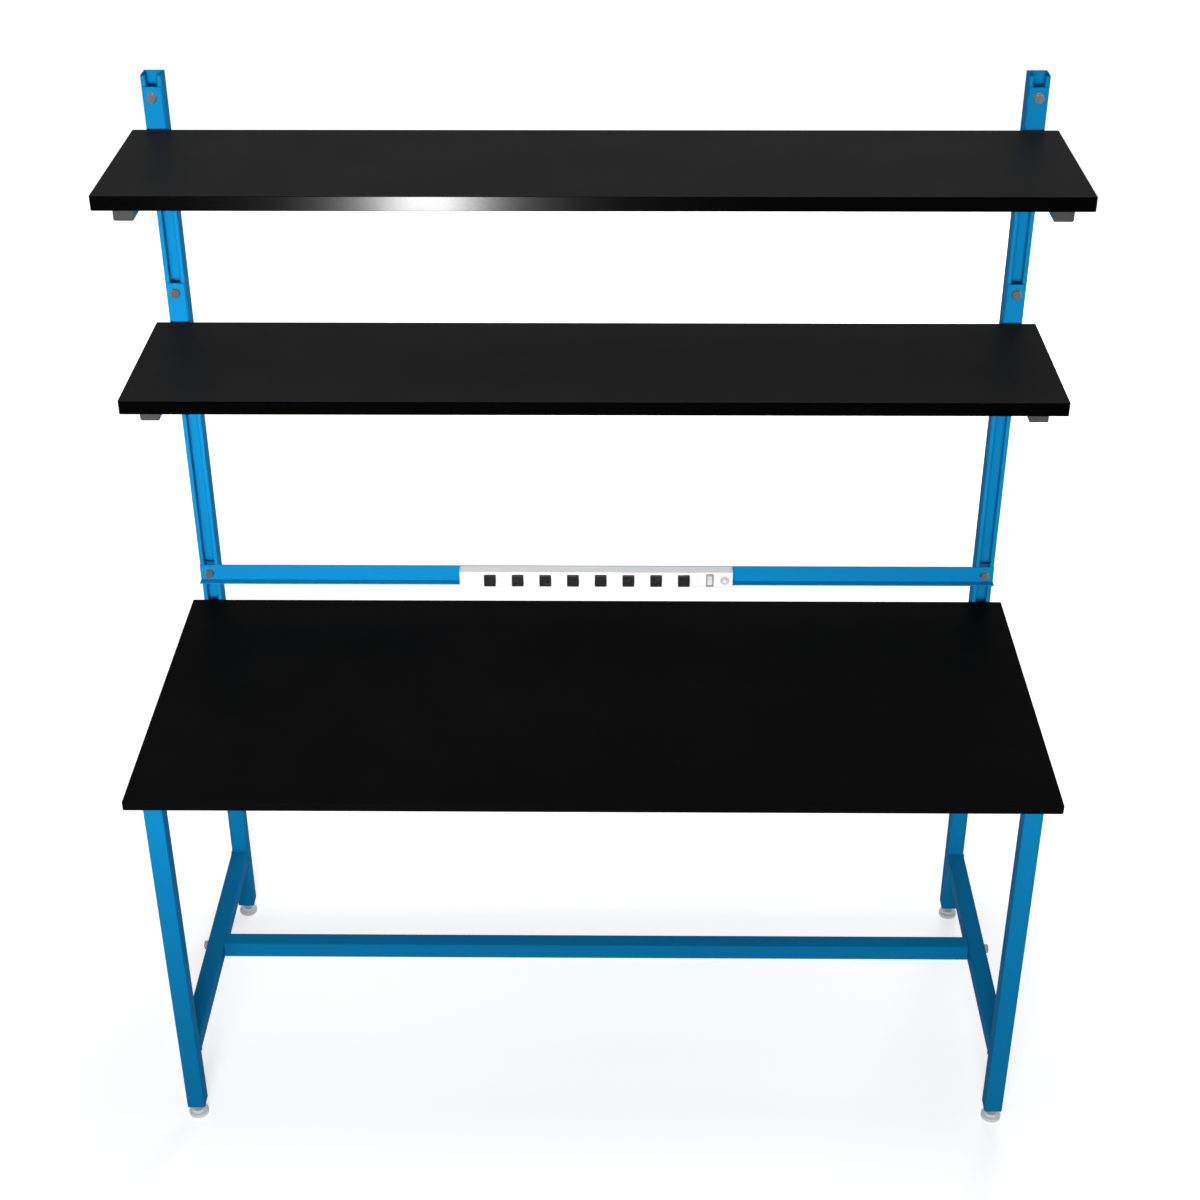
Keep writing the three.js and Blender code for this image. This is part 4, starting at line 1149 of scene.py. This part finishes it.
def makeSwitchFrame(spec):
    node = "switch_frame"
    low, high, centre, size = nodeBox(node)
    face, flange, inner = low.y, spec["flange"], spec["flange"] + seatGap
    throat, rim = inner + spec["wall"], easedRim(low.y, spec["ease"])
    rows = [(0, face + flange)] + rim[::-1] + [(throat - inset, at) for inset, at in rim]
    rows += [(throat, high.y), (inner, high.y), (inner, face + flange)]
    loops = []
    for inset, at in rows:
        radius = max(spec["corner"] - 0.5 * inset, spec["cornerLeast"])
        loop = roundedLoop(size.x - 2 * inset, size.z - 2 * inset, radius, spec["steps"])
        loops.append(lay(loop, "y", at, centre))
    shape = skin(newShape(), loops, ring=True)
    makePiece(node + "_moulding", shape, greyMoulding, "form", "power_rail", "strip_plastic", node)
    return centre, size.z / 2 - throat - spec["slide"]


def makeRocker(spec, centre, half):
    node = "switch_rocker"
    halfWidth = nodeSize(node).x / 2
    depth, tail, drop = spec["pivotDepth"], spec["tail"], spec["tipDrop"]
    pivot = Vector((centre.x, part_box("strip_housing")[0].y + depth, centre.z))
    rise, waist, count = half * math.tan(spec["tilt"]), half - spec["slide"], spec["faceSteps"]
    shares = [k / count for k in range(-count, count + 1)]
    face = [(half * share, -depth - rise * abs(share) ** spec["faceCurve"]) for share in shares]
    outline = [(-waist, 0.0), (-half, face[0][1] + drop)] + face[1:-1] + [(half, face[-1][1] + drop)]
    outline += [(waist, 0.0), (waist, tail / 2), (0, tail), (-waist, tail / 2)]
    turn, side = Matrix.Rotation(spec["tilt"], 3, "X"), 1 - spec["ease"] / halfWidth
    loops = []
    for share, inset in ((-1, spec["ease"]), (-side, 0), (side, 0), (1, spec["ease"])):
        shrink = 1 - inset / half
        spots = [Vector((share * halfWidth, deep * shrink, along * shrink)) for along, deep in outline]
        loops.append([pivot + turn @ spot for spot in spots])
    shape = skin(newShape(), loops)
    makePiece(node + "_moulding", shape, whiteMoulding, "form", "rocker", "strip_plastic", node)


def makeReset(spec):
    node = "reset_collar"
    low, high, centre, size = nodeBox(node)
    face, radius, bore, sleeve = low.y, size.x / 2, spec["bore"], spec["sleeve"]
    inside, shoulder = radius - spec["rim"], low.y + spec["flange"]
    profile = [(bore, face + spec["dish"])]
    profile += [(inside - spec["dishRun"], face + spec["dishShare"] * spec["dish"])]
    profile += [(inside, face + spec["dishLip"]), (inside + spec["rimFlat"], face)]
    profile += [(radius - inset, face + rise) for inset, rise in spec["edge"]]
    profile += [(radius, shoulder), (sleeve, shoulder), (sleeve, high.y), (bore, high.y)]
    shape = turnedForm(newShape(), profile, centre, "y", ring=True)
    # the collar takes the darker moulding, painted shade for its dish
    makePiece(node + "_moulding", shape, paleMoulding, "form", "power_rail", "strip_plastic", node)
    node = "reset_button"
    (low, high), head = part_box(node), nodeSize(node).x / 2
    stem, dome, neck = spec["stem"], spec["dome"], high.y - spec["headDepth"]
    turns = [quarterTurn * i / spec["domeSteps"] for i in range(spec["domeSteps"] + 1)]
    profile = [(stem * math.sin(a), low.y + dome * (1 - math.cos(a))) for a in turns]
    profile += [(stem, neck), (head, neck), (head, high.y), (poleRadius, high.y)]
    shape = turnedForm(newShape(), profile, centre, "y")
    makePiece(node + "_cap", shape, whiteMoulding, "form", "reset", "strip_plastic", node)


makeRocker(rockerSwitch, *makeSwitchFrame(rockerSwitch))
makeReset(resetButton)
print("switch and reset made")

# Studio: white floor that keeps the shadow, broad lamps in front, behind and above
studio = {
    "floorSize": 80.0, "floorColour": (0.80, 0.80, 0.80), "shadowColour": (0.90, 0.90, 0.90),
    "glowReach": (1.8, 7.0), "glowLevel": (0.52, 0.80), "worldLevel": 0.21,
}
lamps = {
    "keyLamp": {"place": (-0.4, -5.2, 2.5), "aim": (0.0, 0.0, 1.0), "size": 2.0, "power": 146.0},
    "leftLamp": {"place": (-0.35, -3.0, 2.4), "aim": (-0.75, 0.36, 1.4), "size": 0.8, "power": 13.0,
                 "spread": 46},
    "rightLamp": {"place": (0.35, -3.0, 2.4), "aim": (0.75, 0.36, 1.4), "size": 0.8, "power": 7.5,
                  "spread": 46},
    "rearLamp": {"place": (1.6, 5.2, 2.0), "aim": (0.0, 0.2, 1.0), "size": 2.6, "power": 130.0},
    "topLamp": {"place": (0.0, 0.1, 5.2), "aim": (0.0, 0.1, 0.0), "size": 2.6, "power": 45.0, "shine": True},
    "glintLamp": {"place": (-0.58, -2.8, 0.98), "aim": (-0.3, -0.03, 1.98), "size": 0.22, "power": 1870.0,
                  "shine": True, "mirrorOnly": "upper_shelf_band"},
}


def seenDirectly(tree):  # camera, mirror and glass rays see the plain white
    path = tree.nodes.new("ShaderNodeLightPath").outputs
    both = mathNode(tree, "MAXIMUM", path["Is Camera Ray"], path["Is Glossy Ray"])
    return mathNode(tree, "MAXIMUM", both, path["Is Transmission Ray"])


def mixShaders(tree, factor, first, second):
    return addNode(tree, "ShaderNodeMixShader", {"Fac": factor, 1: first, 2: second}).outputs[0]


def makeFloor(spec):
    half = spec["floorSize"] / 2
    corners = [(-half, -half, 0), (half, -half, 0), (half, half, 0), (-half, half, 0)]
    mesh = bpy.data.meshes.new("studioFloor")
    mesh.from_pydata(corners, [], [(0, 1, 2, 3)])
    material = bpy.data.materials.new("studioFloor")
    material.use_nodes = True
    tree = material.node_tree
    tree.nodes.clear()
    bounce, shaded = [
        addNode(tree, "ShaderNodeBsdfDiffuse", {"Color": (*spec[key], 1)}).outputs[0]
        for key in ("floorColour", "shadowColour")]
    reach = addNode(tree, "ShaderNodeVectorMath", {0: objectPlace(tree)}, operation="LENGTH").outputs["Value"]
    level = stepNode(tree, reach, *spec["glowReach"], *spec["glowLevel"])
    glow = addNode(tree, "ShaderNodeEmission", {"Strength": level}).outputs[0]
    seen = addNode(tree, "ShaderNodeAddShader", {0: shaded, 1: glow}).outputs[0]
    above = mixShaders(tree, seenDirectly(tree), bounce, seen)
    fromBelow = tree.nodes.new("ShaderNodeNewGeometry").outputs["Backfacing"]
    clear = tree.nodes.new("ShaderNodeBsdfTransparent").outputs[0]
    addNode(tree, "ShaderNodeOutputMaterial", {"Surface": mixShaders(tree, fromBelow, above, clear)})
    mesh.materials.append(material)
    addObject("studioFloor", mesh)


def makeWorld(spec):
    world = bpy.data.worlds.new("studioWorld")
    bpy.context.scene.world = world
    world.use_nodes = True
    tree = world.node_tree
    light = tree.nodes["Background"]
    light.inputs["Color"].default_value = (1, 1, 1, 1)
    light.inputs["Strength"].default_value = spec["worldLevel"]
    white = addNode(tree, "ShaderNodeBackground", {"Color": (1, 1, 1, 1)}).outputs[0]
    mixed = mixShaders(tree, seenDirectly(tree), light.outputs[0], white)
    tree.links.new(mixed, tree.nodes["World Output"].inputs["Surface"])


def makeLamp(name, spec):
    data = bpy.data.lights.new(name, "AREA")
    data.shape = "SQUARE"
    data.size = spec["size"]
    data.energy = spec["power"]
    data.spread = math.radians(spec.get("spread", 180))
    lamp = addObject(name, data)
    turn = (Vector(spec["aim"]) - Vector(spec["place"])).to_track_quat("-Z", "Y")
    lamp.matrix_world = Matrix.Translation(spec["place"]) @ turn.to_matrix().to_4x4()
    lamp.visible_camera = False
    lamp.visible_glossy = spec.get("shine", False)  # no white patches on faces seen edge on
    if "mirrorOnly" in spec:  # seen only as a glint in one piece
        lamp.visible_diffuse = False
        mirrors = bpy.data.collections.new(name + "Mirrors")
        mirrors.objects.link(bpy.data.objects[spec["mirrorOnly"]])
        lamp.light_linking.receiver_collection = mirrors


makeFloor(studio)
makeWorld(studio)
for lampName, lampSpec in lamps.items():
    makeLamp(lampName, lampSpec)
print("studio made")
